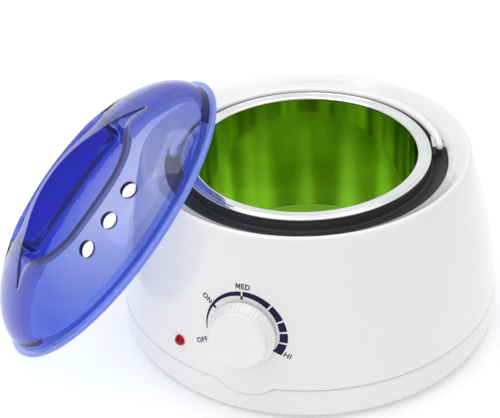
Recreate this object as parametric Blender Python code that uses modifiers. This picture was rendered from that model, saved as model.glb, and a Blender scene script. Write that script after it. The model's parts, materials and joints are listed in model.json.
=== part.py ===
"""Wax warmer pot: heated housing, lift-out pot with bail, temperature dial and a loose lid.

The lid is modelled leaning on the left of the housing with its rim on the table.
Dimensions below are in millimetres, and MM turns them into Blender's metres.
Heights are counted from the table, and radii from the upright axis of the pot.
"""
import math

import bmesh
import bpy
from mathutils import Matrix, Vector

MM = 0.001
MERGE = 0.00001
GAP = 0.3

# Housing, turned about the pot's axis
WALL = 2.5
OPENING_R = 68.0
OPENING_Z = 83.8
CREST_R = 78.0
CREST_Z = 90.8
CREST_ROUND = 3.2
BELLY_R = 93.9
SEAM_Z = 18.0
SIDE_SLOPE = 0.085
SIDE_BEND = 0.00176
TRAY_FOOT_R = 91.2
TRAY_FOOT_Z = 1.2
TRAY_EDGE_R = 94.3
TRAY_EDGE_Z = 8.5
FLOOR_Z = 4.0
LIP_R = 90.4
LIP_TOP_Z = 23.0
PILLAR_R = 3.6
PILLAR_RING_R = 76.0
PILLAR_FOOT_Z = 7.0
PILLAR_TOP_Z = 85.0
PILLAR_ANGLES = (20.0, 110.0, 200.0, 330.0)
PILOT_R = 1.7
PILOT_DEPTH = 12.0
TONGUE_DROP = 5.5
FOOT_R = 7.0
FOOT_RING_R = 74.0
FOOT_ANGLES = (65.0, 155.0, 245.0, 295.0)

# Black collar and heating well
COLLAR_TOP_Z = 85.2
COLLAR_IN_R = 57.0
COLLAR_WALL_R = 59.9
COLLAR_BAND_Z = 81.0
COLLAR_UNDER_Z = 78.8
COLLAR_FLANGE_R = 72.0
WELL_R = 56.4
WELL_WALL = 1.2
WELL_FLOOR_Z = 13.0
WELL_FLANGE_R = 66.0
WELL_FLANGE_Z = 76.8
WELL_SCREW_RING_R = 62.5
WELL_SCREW_ANGLES = (60.0, 150.0, 285.0)

# Heater round the well
BAND_BOTTOM_Z = 26.0
BAND_TOP_Z = 50.0
BAND_THICK = 2.0
CLAMP_THICK = 0.7
CLAMP_BOTTOM_Z = 33.0
CLAMP_TOP_Z = 43.0
CLAMP_AZIMUTH = 150.0
CLAMP_EAR = (8.0, 8.0, 6.0)
CLAMP_SCREW_SHANK = 11.0
FUSE_AZIMUTH = -50.0
FUSE_Z = 54.0
FUSE_R = 1.9
FUSE_LENGTH = 12.0
CLIP_SIZE = (9.0, 6.0, 1.0)

# Lift-out pot and wax
POT_R = 53.4
POT_WALL = 0.9
POT_RIM_Z = 87.6
POT_FLOOR_Z = 14.5
POT_CORNER = 6.0
BEAD_IN_R = 58.5
BEAD_R = 60.1
WAX_Z = 21.6

# Bail and its lugs
BAIL_R = 64.2
BAIL_ROD_R = 1.9
BAIL_Z = 86.6
BAIL_Y = 2.0
BAIL_OVERHANG = 2.6
LUG_IN_R = 60.5
LUG_OUT_R = 61.9
LUG_HALF_LENGTH = 5.0
LUG_BOTTOM_Z = 84.4
LUG_TOP_Z = 89.0
PIN_R = 1.0
PIN_HOLE_R = 1.35
PIN_LENGTH = 6.6
PIN_HEAD_R = 1.9
PIN_HEAD_DEPTH = 0.7

# Dial and indicator lamp, on the sloping side
DIAL_AZIMUTH = -108.8
DIAL_Z = 45.6
SHAFT_R = 3.0
SHAFT_HOLE_R = 3.6
KNOB_SKIRT_R = 15.2
KNOB_FACE_R = 13.3
KNOB_HEIGHT = 9.2
KNOB_CLEARANCE = 0.9
DIAL_SCREW_X = 9.0
DIAL_SCREW_HEAD_R = 2.3
DIAL_SCREW_HEAD_DEPTH = 0.55
DIAL_SCREW_SHANK = 7.0
SHAFT_DEPTH = 11.0
KNOB_BORE_TOP = 7.0
BRACKET_SIZE = (42.0, 16.0, 1.0)
BRACKET_LIFT = -6.8
THERMOSTAT_SIZE = (22.0, 18.0, 13.0)
THERMOSTAT_LIFT = -20.2
LAMP_AZIMUTH = -129.9
LAMP_Z = 30.4
LENS_R = 2.5
LENS_DOME = 1.8
LENS_FLANGE_R = 3.8
LENS_FLANGE_Z = -2.9
LENS_BASE_Z = -3.9
LAMP_R = 2.2
LAMP_LENGTH = 10.0
DIP_R = 22.0
DIP_CENTRE_Z = 35.1

# Lid, about its own axis; height 0 is the underside of its flange
LID_R = 80.0
LID_WALL = 2.2
LID_DOME_R = 77.2
LID_HEIGHT = 34.7
LID_SKIRT_R = 72.0
LID_SKIRT_IN_R = 70.0
LID_SKIRT_DEPTH = 2.0
VENT_R = 4.0
VENT_RING_R = 62.0
VENT_STEP = 14.4
VENT_LEAN = 30.0
SCOOP_FLOOR_Z = 22.5
SCOOP_REACH = 45.0
SCOOP_HALF_LENGTH = 34.0
SCOOP_DRAFT = 4.0
GRIP_HALF = 3.0
GRIP_TOP_Z = 37.5
GRIP_ARCH_R = 83.0
GRIP_CREST_HALF = 26.0
LID_AZIMUTH = 183.8
LID_TILT = 45.5
LID_SPIN = 117.0
LID_X = -96.3
LID_Y = -6.4

# Cord inlet at the back, and the wiring inside
GLAND_AZIMUTH = 90.0
GLAND_Z = 11.6
GLAND_NECK_R = 3.2
GLAND_FLANGE_R = 4.8
GLAND_BORE_R = 2.2
GLAND_REACH = 4.6
GLAND_INNER_Z = -6.2
GLAND_END_Z = -7.6
CORD_CLAMP_SIZE = (18.0, 6.0, 4.0)
CORD_CLAMP_Y = 78.0
TERMINAL_AZIMUTH = 50.0
TERMINAL_RING_R = 76.0
TERMINAL_SIZE = (11.0, 24.0, 9.0)
LEAD_R = 0.9
LEAD_LOW_Z = 12.0

SCREW_R = 1.3
SCREW_HOLE_R = 1.7
SCREW_HEAD_R = 2.6
SCREW_HEAD_DEPTH = 1.8
BASE_SCREW_SHANK = 12.0
WELL_SCREW_HEAD_R = 2.4
WELL_SCREW_HEAD_DEPTH = 1.4
THROUGH = 16.0

SEGMENTS = 48
FINE = 28
SMALL = 16

for old in list(bpy.data.objects):
    bpy.data.objects.remove(old, do_unlink=True)

PARTS = bpy.data.collections.new("wax_warmer_pot")
CUTTERS = bpy.data.collections.new("cutters")
bpy.context.scene.collection.children.link(PARTS)
bpy.context.scene.collection.children.link(CUTTERS)

ROOT = bpy.data.objects.new("pot_axis", None)
PARTS.objects.link(ROOT)


def material(name, colour, roughness, metallic=0.0, alpha=1.0):
    made = bpy.data.materials.new(name)
    made.use_nodes = True
    shader = made.node_tree.nodes["Principled BSDF"]
    shader.inputs["Base Color"].default_value = (*colour, 1.0)
    shader.inputs["Roughness"].default_value = roughness
    shader.inputs["Metallic"].default_value = metallic
    shader.inputs["Alpha"].default_value = alpha
    made.diffuse_color = (*colour, alpha)
    return made


WHITE = material("white_plastic", (0.86, 0.86, 0.85), 0.22)
BLACK = material("black_plastic", (0.02, 0.02, 0.025), 0.35)
ALUMINIUM = material("aluminium", (0.82, 0.82, 0.84), 0.22, metallic=1.0)
STEEL = material("steel", (0.6, 0.6, 0.62), 0.3, metallic=1.0)
BRASS = material("brass", (0.75, 0.58, 0.25), 0.3, metallic=1.0)
WAX = material("green_wax", (0.16, 0.42, 0.03), 0.12)
BLUE = material("clear_blue", (0.12, 0.16, 0.8), 0.05, alpha=0.45)
RED = material("red_lens", (0.7, 0.01, 0.03), 0.1)
RUBBER = material("rubber", (0.03, 0.03, 0.03), 0.8)
SILICONE = material("heater_silicone", (0.55, 0.12, 0.05), 0.6)
CERAMIC = material("ceramic", (0.85, 0.83, 0.78), 0.5)
GLASS = material("lamp_glass", (0.9, 0.55, 0.4), 0.1)
SLEEVE = material("wire_sleeve", (0.85, 0.85, 0.8), 0.6)


def add(name, mesh, finish, parent=ROOT, matrix=None):
    """Link a mesh as one named sub-part, placed by matrix in its parent's frame."""
    made = bpy.data.objects.new(name, mesh)
    PARTS.objects.link(made)
    made.parent = parent
    if matrix is not None:
        made.matrix_local = matrix
    if finish is not None:
        mesh.materials.append(finish)
    return made


def as_cutter(piece):
    piece.hide_render = True
    piece.display_type = "WIRE"
    PARTS.objects.unlink(piece)
    CUTTERS.objects.link(piece)
    return piece


def combine(piece, other, operation):
    """Cut or join other, which stays behind as a guide in the cutters' collection."""
    as_cutter(other)
    boolean = piece.modifiers.new(operation.lower(), "BOOLEAN")
    boolean.operation = operation
    boolean.object = other
    return piece


def smooth(mesh, angle=35.0):
    mesh.shade_smooth()
    mesh.set_sharp_from_angle(angle=math.radians(angle))


def turned(name, profile, finish, segments=SEGMENTS, closed=True, parent=ROOT):
    """Turn a profile of (radius, height) points about the frame's upright axis."""
    mesh = bpy.data.meshes.new(name)
    points = [(r * MM, 0.0, z * MM) for r, z in profile]
    edges = [(i, i + 1) for i in range(len(points) - 1)]
    if closed:
        edges.append((len(points) - 1, 0))
    mesh.from_pydata(points, edges, [])
    made = add(name, mesh, finish, parent)
    screw = made.modifiers.new("turn", "SCREW")
    screw.steps = segments
    screw.render_steps = segments
    screw.use_merge_vertices = True
    screw.merge_threshold = MERGE
    screw.use_smooth_shade = True
    return made


def disc_mesh(name, radius, top_radius, depth, segments):
    """A closed cylinder or cone from height 0 to depth."""
    shape = bmesh.new()
    bmesh.ops.create_cone(shape, cap_ends=True, segments=segments, radius1=radius * MM,
                          radius2=top_radius * MM, depth=depth * MM)
    bmesh.ops.translate(shape, verts=shape.verts, vec=(0.0, 0.0, depth * MM / 2))
    mesh = bpy.data.meshes.new(name)
    shape.to_mesh(mesh)
    shape.free()
    smooth(mesh)
    return mesh


def cylinder(name, radius, depth, finish, matrix, segments=SMALL, top_radius=None, parent=ROOT):
    top = radius if top_radius is None else top_radius
    return add(name, disc_mesh(name, radius, top, depth, segments), finish, parent, matrix)


def block(name, size, finish, matrix, parent=ROOT):
    """A box centred in X and Y that stands on height 0 of its own frame."""
    shape = bmesh.new()
    bmesh.ops.create_cube(shape, size=1.0)
    bmesh.ops.scale(shape, verts=shape.verts, vec=[side * MM for side in size])
    bmesh.ops.translate(shape, verts=shape.verts, vec=(0.0, 0.0, size[2] * MM / 2))
    mesh = bpy.data.meshes.new(name)
    shape.to_mesh(mesh)
    shape.free()
    return add(name, mesh, finish, parent, matrix)


def rounded(piece, width, segments=2):
    bevel = piece.modifiers.new("round", "BEVEL")
    bevel.width = width * MM
    bevel.segments = segments
    bevel.limit_method = "ANGLE"
    return piece


def tube(name, points, radius, finish, parent=ROOT):
    """A round lead through points, as one closed mesh."""
    curve = bpy.data.curves.new(name, "CURVE")
    curve.dimensions = "3D"
    curve.bevel_depth = radius * MM
    curve.bevel_resolution = 1
    curve.use_fill_caps = True
    spline = curve.splines.new("POLY")
    spline.points.add(len(points) - 1)
    for point, place in zip(spline.points, points):
        point.co = (*[value * MM for value in place], 1.0)
    made = bpy.data.objects.new(name, curve)
    PARTS.objects.link(made)
    made.parent = parent
    curve.materials.append(finish)
    return made


def at(x=0.0, y=0.0, z=0.0):
    return Matrix.Translation(Vector((x, y, z)) * MM)


def on_ring(radius, angle, height):
    turn = math.radians(angle)
    return radius * math.cos(turn), radius * math.sin(turn), height


def side_radius(height):
    """Outer radius of the housing's side, which leans in more the higher it is."""
    rise = height - SEAM_Z
    return BELLY_R - SIDE_SLOPE * rise - SIDE_BEND * rise * rise


def side_frame(azimuth, height, lift=0.0):
    """Frame on the housing's side: X to the right seen from outside, Z straight out of it."""
    turn = math.radians(azimuth)
    slope = SIDE_SLOPE + 2 * SIDE_BEND * (height - SEAM_Z)
    out = Vector((math.cos(turn), math.sin(turn), slope)).normalized()
    right = Vector((-math.sin(turn), math.cos(turn), 0.0))
    up = out.cross(right)
    place = Vector(on_ring(side_radius(height), azimuth, height)) + out * lift
    frame = Matrix((right, up, out)).transposed().to_4x4()
    frame.translation = place * MM
    return frame


def flat_out(azimuth, radius, height):
    """Frame whose Z points straight away from the pot's axis."""
    turn = math.radians(azimuth)
    out = Vector((math.cos(turn), math.sin(turn), 0.0))
    right = Vector((-math.sin(turn), math.cos(turn), 0.0))
    frame = Matrix((right, out.cross(right), out)).transposed().to_4x4()
    frame.translation = Vector(on_ring(radius, azimuth, height)) * MM
    return frame


def arc(centre_r, centre_z, radius_r, radius_z, start, stop, steps):
    """Points on an elliptical arc in the turning plane; angles in degrees from +R."""
    points = []
    for step in range(steps + 1):
        turn = math.radians(start + (stop - start) * step / steps)
        points.append((centre_r + radius_r * math.cos(turn), centre_z + radius_z * math.sin(turn)))
    return points


def side_line(top_z, bottom_z, inset, steps):
    """The housing's side from top to bottom, set in by inset."""
    heights = [top_z + (bottom_z - top_z) * step / steps for step in range(steps + 1)]
    return [(side_radius(height) - inset, height) for height in heights]


def housing_profile():
    shoulder_z = CREST_Z - CREST_ROUND
    crest = arc(CREST_R - 0.4, shoulder_z, side_radius(shoulder_z) - CREST_R + 0.4, CREST_ROUND,
                115.0, 15.0, 3)
    outer = side_line(shoulder_z - 2.0, SEAM_Z, 0.0, 6)
    inner = side_line(SEAM_Z, shoulder_z - WALL, WALL, 4)
    rim = [(OPENING_R, OPENING_Z - WALL), (OPENING_R, OPENING_Z - 0.4), (OPENING_R + 0.4, OPENING_Z)]
    under = [(CREST_R - 1.5, CREST_Z - WALL - 1.0), (OPENING_R + 1.5, OPENING_Z - WALL)]
    return rim + crest + outer + inner + under


def dial_dip(name, radius):
    """A drum whose lower edge draws the dip in the seam below the dial."""
    frame = flat_out(DIAL_AZIMUTH, BELLY_R - THROUGH / 2, DIP_CENTRE_Z)
    return cylinder(name, radius, THROUGH, None, frame, FINE)


def seam_tongue():
    """The part of the housing's wall that hangs below the seam under the dial."""
    inside = LIP_R + GAP + 0.3
    top = SEAM_Z + 1.0
    bottom = SEAM_Z - TONGUE_DROP
    profile = [(inside, top), (side_radius(SEAM_Z), top), (side_radius(SEAM_Z), SEAM_Z),
               (TRAY_EDGE_R, bottom), (inside, bottom)]
    tongue = turned("seam_tongue", profile, None)
    return combine(tongue, dial_dip("tongue_dip", DIP_R - GAP), "INTERSECT")


def make_upper_housing():
    housing = turned("upper_housing", housing_profile(), WHITE)
    combine(housing, seam_tongue(), "UNION")
    for number, angle in enumerate(PILLAR_ANGLES):
        place = at(*on_ring(PILLAR_RING_R, angle, PILLAR_FOOT_Z))
        pillar = cylinder(f"pillar_{number}", PILLAR_R, PILLAR_TOP_Z - PILLAR_FOOT_Z, None, place, 12)
        combine(housing, pillar, "UNION")
        hole = at(*on_ring(PILLAR_RING_R, angle, PILLAR_FOOT_Z - 1.0))
        combine(housing, cylinder(f"pilot_{number}", PILOT_R, PILOT_DEPTH + 1.0, None, hole, 8),
                "DIFFERENCE")
    shaft = side_frame(DIAL_AZIMUTH, DIAL_Z, -THROUGH / 2)
    combine(housing, cylinder("shaft_hole", SHAFT_HOLE_R, THROUGH, None, shaft, SMALL), "DIFFERENCE")
    for number, side in enumerate((-1, 1)):
        place = shaft @ at(side * DIAL_SCREW_X)
        hole = cylinder(f"dial_screw_hole_{number}", SCREW_HOLE_R, THROUGH, None, place, 8)
        combine(housing, hole, "DIFFERENCE")
    lamp = side_frame(LAMP_AZIMUTH, LAMP_Z, -THROUGH / 2)
    combine(housing, cylinder("lens_hole", LENS_R + GAP, THROUGH, None, lamp, SMALL), "DIFFERENCE")


def lip_guard():
    """Keeps the dip's cutter off the register lip inside the wall."""
    top = LIP_TOP_Z + 7.0
    profile = [(0.0, top), (LIP_R + GAP, top), (LIP_R + GAP, 0.0), (0.0, 0.0)]
    return turned("lip_guard", profile, None, closed=False)


def make_base_tray():
    edge = [(side_radius(SEAM_Z), SEAM_Z - GAP), (TRAY_EDGE_R, 13.0), (TRAY_EDGE_R, TRAY_EDGE_Z)]
    edge += arc(TRAY_EDGE_R - 4.0, TRAY_EDGE_Z - 1.0, 4.0, 6.3, -15.0, -75.0, 3)
    outer = [(LIP_R - 2.0, LIP_TOP_Z), (LIP_R, LIP_TOP_Z), (LIP_R, SEAM_Z - GAP)] + edge
    inner = [(TRAY_FOOT_R - 4.0, TRAY_FOOT_Z), (TRAY_FOOT_R - 5.0, FLOOR_Z), (0.0, FLOOR_Z)]
    top = [(0.0, FLOOR_Z + WALL), (LIP_R - 2.0, FLOOR_Z + WALL)]
    tray = turned("base_tray", top + outer + inner, WHITE, closed=False)
    cutter = dial_dip("tray_dip", DIP_R)
    combine(cutter, lip_guard(), "DIFFERENCE")
    combine(tray, cutter, "DIFFERENCE")
    for number, angle in enumerate(PILLAR_ANGLES):
        place = at(*on_ring(PILLAR_RING_R, angle, FLOOR_Z - 1.0))
        combine(tray, cylinder(f"screw_hole_{number}", SCREW_HOLE_R, WALL + 2.0, None, place, 8),
                "DIFFERENCE")
    gland = flat_out(GLAND_AZIMUTH, LIP_R - THROUGH / 2, GLAND_Z)
    combine(tray, cylinder("gland_hole", GLAND_NECK_R + GAP, THROUGH, None, gland, SMALL), "DIFFERENCE")


def make_feet():
    for number, angle in enumerate(FOOT_ANGLES, 1):
        place = at(*on_ring(FOOT_RING_R, angle, 0.0))
        cylinder(f"rubber_foot_{number}", FOOT_R - 0.8, FLOOR_Z - GAP, RUBBER, place, 20,
                 top_radius=FOOT_R)


def make_screw(name, head_r, head_depth, shank, matrix):
    """A screw whose head stands on height 0 and whose shank runs up from it."""
    profile = [(0.0, head_depth + shank), (SCREW_R, head_depth + shank), (SCREW_R, head_depth),
               (head_r, head_depth), (head_r, 0.5), (head_r - 0.5, 0.0), (0.0, 0.0)]
    screw = turned(name, profile, STEEL, 12, closed=False)
    screw.matrix_local = matrix


def make_base_screws():
    head = FLOOR_Z - GAP - SCREW_HEAD_DEPTH
    for number, angle in enumerate(PILLAR_ANGLES, 1):
        place = at(*on_ring(PILLAR_RING_R, angle, head))
        make_screw(f"base_screw_{number}", SCREW_HEAD_R, SCREW_HEAD_DEPTH, BASE_SCREW_SHANK, place)


def make_rim_collar():
    profile = [(COLLAR_IN_R, COLLAR_TOP_Z), (COLLAR_WALL_R - 0.5, COLLAR_TOP_Z),
               (COLLAR_WALL_R, COLLAR_TOP_Z - 0.6), (COLLAR_WALL_R + 0.2, COLLAR_BAND_Z + 0.6),
               (COLLAR_WALL_R + 0.8, COLLAR_BAND_Z), (OPENING_R - 1.6, OPENING_Z - 1.6),
               (OPENING_R - GAP, OPENING_Z - 1.0), (OPENING_R - GAP, OPENING_Z - 3.0),
               (COLLAR_FLANGE_R, OPENING_Z - 3.0), (COLLAR_FLANGE_R, COLLAR_UNDER_Z),
               (COLLAR_IN_R, COLLAR_UNDER_Z)]
    collar = turned("rim_collar", profile, BLACK)
    for number, angle in enumerate(WELL_SCREW_ANGLES):
        place = at(*on_ring(WELL_SCREW_RING_R, angle, COLLAR_UNDER_Z - 1.0))
        hole = cylinder(f"collar_hole_{number}", SCREW_HOLE_R, 2.4, None, place, 8)
        combine(collar, hole, "DIFFERENCE")


def make_heating_well():
    inside = WELL_R - WELL_WALL
    corner = 6.0
    profile = [(0.0, WELL_FLOOR_Z + WELL_WALL), (inside - corner, WELL_FLOOR_Z + WELL_WALL)]
    profile += arc(inside - corner, WELL_FLOOR_Z + WELL_WALL + corner, corner, corner, -60.0, 0.0, 2)
    profile += [(inside, WELL_FLANGE_Z + WELL_WALL), (WELL_FLANGE_R, WELL_FLANGE_Z + WELL_WALL),
                (WELL_FLANGE_R, WELL_FLANGE_Z), (WELL_R, WELL_FLANGE_Z)]
    profile += arc(WELL_R - corner, WELL_FLOOR_Z + corner, corner, corner, 0.0, -60.0, 2)
    profile += [(WELL_R - corner, WELL_FLOOR_Z), (0.0, WELL_FLOOR_Z)]
    well = turned("heating_well", profile, ALUMINIUM, 40, closed=False)
    for number, angle in enumerate(WELL_SCREW_ANGLES):
        place = at(*on_ring(WELL_SCREW_RING_R, angle, WELL_FLANGE_Z - 1.0))
        combine(well, cylinder(f"well_hole_{number}", SCREW_HOLE_R, 4.0, None, place, 8), "DIFFERENCE")


def make_well_screws():
    head = WELL_FLANGE_Z - GAP - WELL_SCREW_HEAD_DEPTH
    shank = COLLAR_UNDER_Z + 1.0 - head - WELL_SCREW_HEAD_DEPTH
    for number, angle in enumerate(WELL_SCREW_ANGLES, 1):
        place = at(*on_ring(WELL_SCREW_RING_R, angle, head))
        make_screw(f"well_screw_{number}", WELL_SCREW_HEAD_R, WELL_SCREW_HEAD_DEPTH, shank, place)


def hoop(name, inner, thick, bottom, top, finish):
    profile = [(inner, top), (inner + thick, top), (inner + thick, bottom), (inner, bottom)]
    return turned(name, profile, finish, 40)


def make_heater():
    band_r = WELL_R + GAP
    clamp_r = band_r + BAND_THICK + GAP
    hoop("heater_band", band_r, BAND_THICK, BAND_BOTTOM_Z, BAND_TOP_Z, SILICONE)
    clamp = hoop("heater_clamp", clamp_r, CLAMP_THICK, CLAMP_BOTTOM_Z, CLAMP_TOP_Z, STEEL)
    frame = flat_out(CLAMP_AZIMUTH, clamp_r + 0.2, (CLAMP_BOTTOM_Z + CLAMP_TOP_Z) / 2)
    combine(clamp, block("clamp_ear", CLAMP_EAR, None, frame), "UNION")
    across = frame @ at(-THROUGH / 2, 0.0, 3.4) @ Matrix.Rotation(math.radians(90.0), 4, "Y")
    combine(clamp, cylinder("clamp_hole", SCREW_HOLE_R, THROUGH, None, across, 8), "DIFFERENCE")
    make_screw("clamp_screw", SCREW_HEAD_R, SCREW_HEAD_DEPTH, CLAMP_SCREW_SHANK,
               across @ at(z=SCREW_HEAD_DEPTH))


def make_fuse():
    reach = WELL_R + GAP + FUSE_R
    cylinder("thermal_fuse", FUSE_R, FUSE_LENGTH, CERAMIC, at(*on_ring(reach, FUSE_AZIMUTH, FUSE_Z)), 12)
    clip = flat_out(FUSE_AZIMUTH, reach + FUSE_R + GAP, FUSE_Z + FUSE_LENGTH / 2)
    rounded(block("fuse_clip", CLIP_SIZE, STEEL, clip), 0.3, 1)


def make_thermostat():
    dial = side_frame(DIAL_AZIMUTH, DIAL_Z)
    bracket = block("thermostat_bracket", BRACKET_SIZE, STEEL, dial @ at(z=BRACKET_LIFT))
    body = block("thermostat_body", THERMOSTAT_SIZE, CERAMIC, dial @ at(z=THERMOSTAT_LIFT))
    rounded(body, 1.0, 1)
    bore = cylinder("bracket_bore", SHAFT_HOLE_R, 6.0, None, dial @ at(z=BRACKET_LIFT - 2.0), SMALL)
    combine(bracket, bore, "DIFFERENCE")
    socket = cylinder("body_bore", SHAFT_R + GAP, 8.0, None, dial @ at(z=-12.0), SMALL)
    combine(body, socket, "DIFFERENCE")
    for number, side in enumerate((-1, 1), 1):
        place = dial @ at(side * DIAL_SCREW_X, 0.0, BRACKET_LIFT - 1.0)
        hole = cylinder(f"bracket_hole_{number}", SCREW_HOLE_R, 4.0, None, place, 8)
        combine(bracket, hole, "DIFFERENCE")
        lift = DIAL_SCREW_HEAD_DEPTH + GAP
        head = dial @ at(side * DIAL_SCREW_X, 0.0, lift) @ Matrix.Rotation(math.pi, 4, "X")
        make_screw(f"dial_screw_{number}", DIAL_SCREW_HEAD_R, DIAL_SCREW_HEAD_DEPTH, DIAL_SCREW_SHANK,
                   head)


def make_indicator():
    lens_at = side_frame(LAMP_AZIMUTH, LAMP_Z)
    profile = [(0.0, LENS_DOME), (1.1, LENS_DOME - 0.2), (2.0, LENS_DOME - 0.8), (LENS_R, 0.1),
               (LENS_R, LENS_FLANGE_Z), (LENS_FLANGE_R, LENS_FLANGE_Z), (LENS_FLANGE_R, LENS_BASE_Z),
               (0.0, LENS_BASE_Z)]
    lens = turned("indicator_lens", profile, RED, 20, closed=False)
    lens.matrix_local = lens_at
    behind = lens_at @ at(z=LENS_BASE_Z - 0.4 - LAMP_LENGTH)
    cylinder("indicator_lamp", LAMP_R, LAMP_LENGTH, GLASS, behind, 12)


def make_cord_gland():
    profile = [(GLAND_BORE_R, GLAND_REACH), (3.2, GLAND_REACH), (4.0, 1.8), (GLAND_FLANGE_R, 1.5),
               (GLAND_FLANGE_R, GAP), (GLAND_NECK_R, GAP), (GLAND_NECK_R, GLAND_INNER_Z),
               (GLAND_FLANGE_R, GLAND_INNER_Z), (GLAND_FLANGE_R, GLAND_END_Z),
               (GLAND_BORE_R, GLAND_END_Z)]
    gland = turned("cord_gland", profile, RUBBER, 20)
    gland.matrix_local = flat_out(GLAND_AZIMUTH, TRAY_EDGE_R, GLAND_Z)
    clamp = block("cord_clamp", CORD_CLAMP_SIZE, BLACK, at(0.0, CORD_CLAMP_Y, FLOOR_Z + WALL + GAP))
    rounded(clamp, 0.8, 1)


def make_terminals():
    turn = Matrix.Rotation(math.radians(TERMINAL_AZIMUTH), 4, "Z")
    place = turn @ at(TERMINAL_RING_R, 0.0, FLOOR_Z + WALL + GAP)
    rounded(block("terminal_block", TERMINAL_SIZE, CERAMIC, place), 0.6, 1)


def lead_route(radius, start, stop, low, high):
    """A lead that runs round inside the tray and rises along a smooth S towards its end."""
    steps = 14
    points = []
    for step in range(steps + 1):
        share = step / steps
        rise = share * share * (3.0 - 2.0 * share)
        points.append(on_ring(radius, start + (stop - start) * share, low + (high - low) * rise))
    return points


def make_leads():
    """Leads from the terminals to the thermostat and the heater, and across to the lamp."""
    live = lead_route(66.2, TERMINAL_AZIMUTH - 10.0, DIAL_AZIMUTH + 4.0, LEAD_LOW_Z, 44.0)
    neutral = lead_route(63.0, TERMINAL_AZIMUTH + 14.0, 140.0, LEAD_LOW_Z, 29.0)
    lamp = lead_route(73.5, LAMP_AZIMUTH, DIAL_AZIMUTH - 12.0, 32.0, 40.0)
    tube("lead_live", live, LEAD_R, SLEEVE)
    tube("lead_neutral", neutral, LEAD_R, SLEEVE)
    tube("lead_lamp", lamp, LEAD_R, SLEEVE)


def make_dial():
    """Knob and shaft turn together about the axis that stands square on the housing's side."""
    pivot = bpy.data.objects.new("dial_pivot", None)
    PARTS.objects.link(pivot)
    pivot.parent = ROOT
    pivot.matrix_local = side_frame(DIAL_AZIMUTH, DIAL_Z)
    profile = [(0.0, KNOB_HEIGHT), (KNOB_FACE_R - 1.2, KNOB_HEIGHT), (KNOB_FACE_R, KNOB_HEIGHT - 0.9),
               (KNOB_SKIRT_R - 0.4, KNOB_CLEARANCE + 1.6), (KNOB_SKIRT_R, KNOB_CLEARANCE + 1.0),
               (KNOB_SKIRT_R, KNOB_CLEARANCE), (SHAFT_R + GAP, KNOB_CLEARANCE),
               (SHAFT_R + GAP, KNOB_BORE_TOP), (0.0, KNOB_BORE_TOP)]
    turned("dial_knob", profile, WHITE, 32, closed=False, parent=pivot)
    length = SHAFT_DEPTH + KNOB_BORE_TOP - GAP
    cylinder("thermostat_shaft", SHAFT_R, length, BRASS, at(z=-SHAFT_DEPTH), SMALL, parent=pivot)


def make_inner_pot():
    inner_floor = POT_FLOOR_Z + POT_WALL
    profile = [(0.0, inner_floor)]
    profile += arc(POT_R - POT_CORNER, inner_floor + POT_CORNER, POT_CORNER, POT_CORNER, -90.0, 0.0, 2)
    profile += [(POT_R, POT_RIM_Z - 0.8), (POT_R + 0.3, POT_RIM_Z - 0.2), (POT_R + 0.9, POT_RIM_Z),
                (BEAD_IN_R, POT_RIM_Z), (BEAD_IN_R + 0.5, POT_RIM_Z - 0.4),
                (BEAD_R - 0.7, POT_RIM_Z - 0.4), (BEAD_R, POT_RIM_Z - 1.2),
                (BEAD_R, COLLAR_TOP_Z + 0.9), (BEAD_R - 0.7, COLLAR_TOP_Z + GAP),
                (BEAD_IN_R, COLLAR_TOP_Z + GAP), (BEAD_IN_R, POT_RIM_Z - 1.0),
                (POT_R + POT_WALL, POT_RIM_Z - 1.0)]
    outer = POT_CORNER + POT_WALL
    profile += arc(POT_R - POT_CORNER, inner_floor + POT_CORNER, outer, outer, 0.0, -90.0, 2)
    profile += [(0.0, POT_FLOOR_Z)]
    turned("inner_pot", profile, ALUMINIUM, SEGMENTS, closed=False)


def make_wax():
    inner_floor = POT_FLOOR_Z + POT_WALL
    reach = POT_CORNER - GAP
    profile = [(0.0, WAX_Z), (POT_R - GAP, WAX_Z)]
    profile += arc(POT_R - POT_CORNER, inner_floor + POT_CORNER, reach, reach, 0.0, -90.0, 2)
    profile += [(0.0, inner_floor + GAP)]
    turned("wax_fill", profile, WAX, closed=False)


def curve_to_mesh(curve, name, finish, parent):
    """A curve's tube as a mesh with welded caps, so that it can be cut."""
    bpy.context.view_layer.update()
    graph = bpy.context.evaluated_depsgraph_get()
    mesh = bpy.data.meshes.new_from_object(curve.evaluated_get(graph))
    shape = bmesh.new()
    shape.from_mesh(mesh)
    bmesh.ops.remove_doubles(shape, verts=shape.verts, dist=MERGE)
    shape.to_mesh(mesh)
    shape.free()
    mesh.materials.clear()
    smooth(mesh, 50.0)
    bpy.data.objects.remove(curve, do_unlink=True)
    return add(name, mesh, finish, parent)


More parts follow.
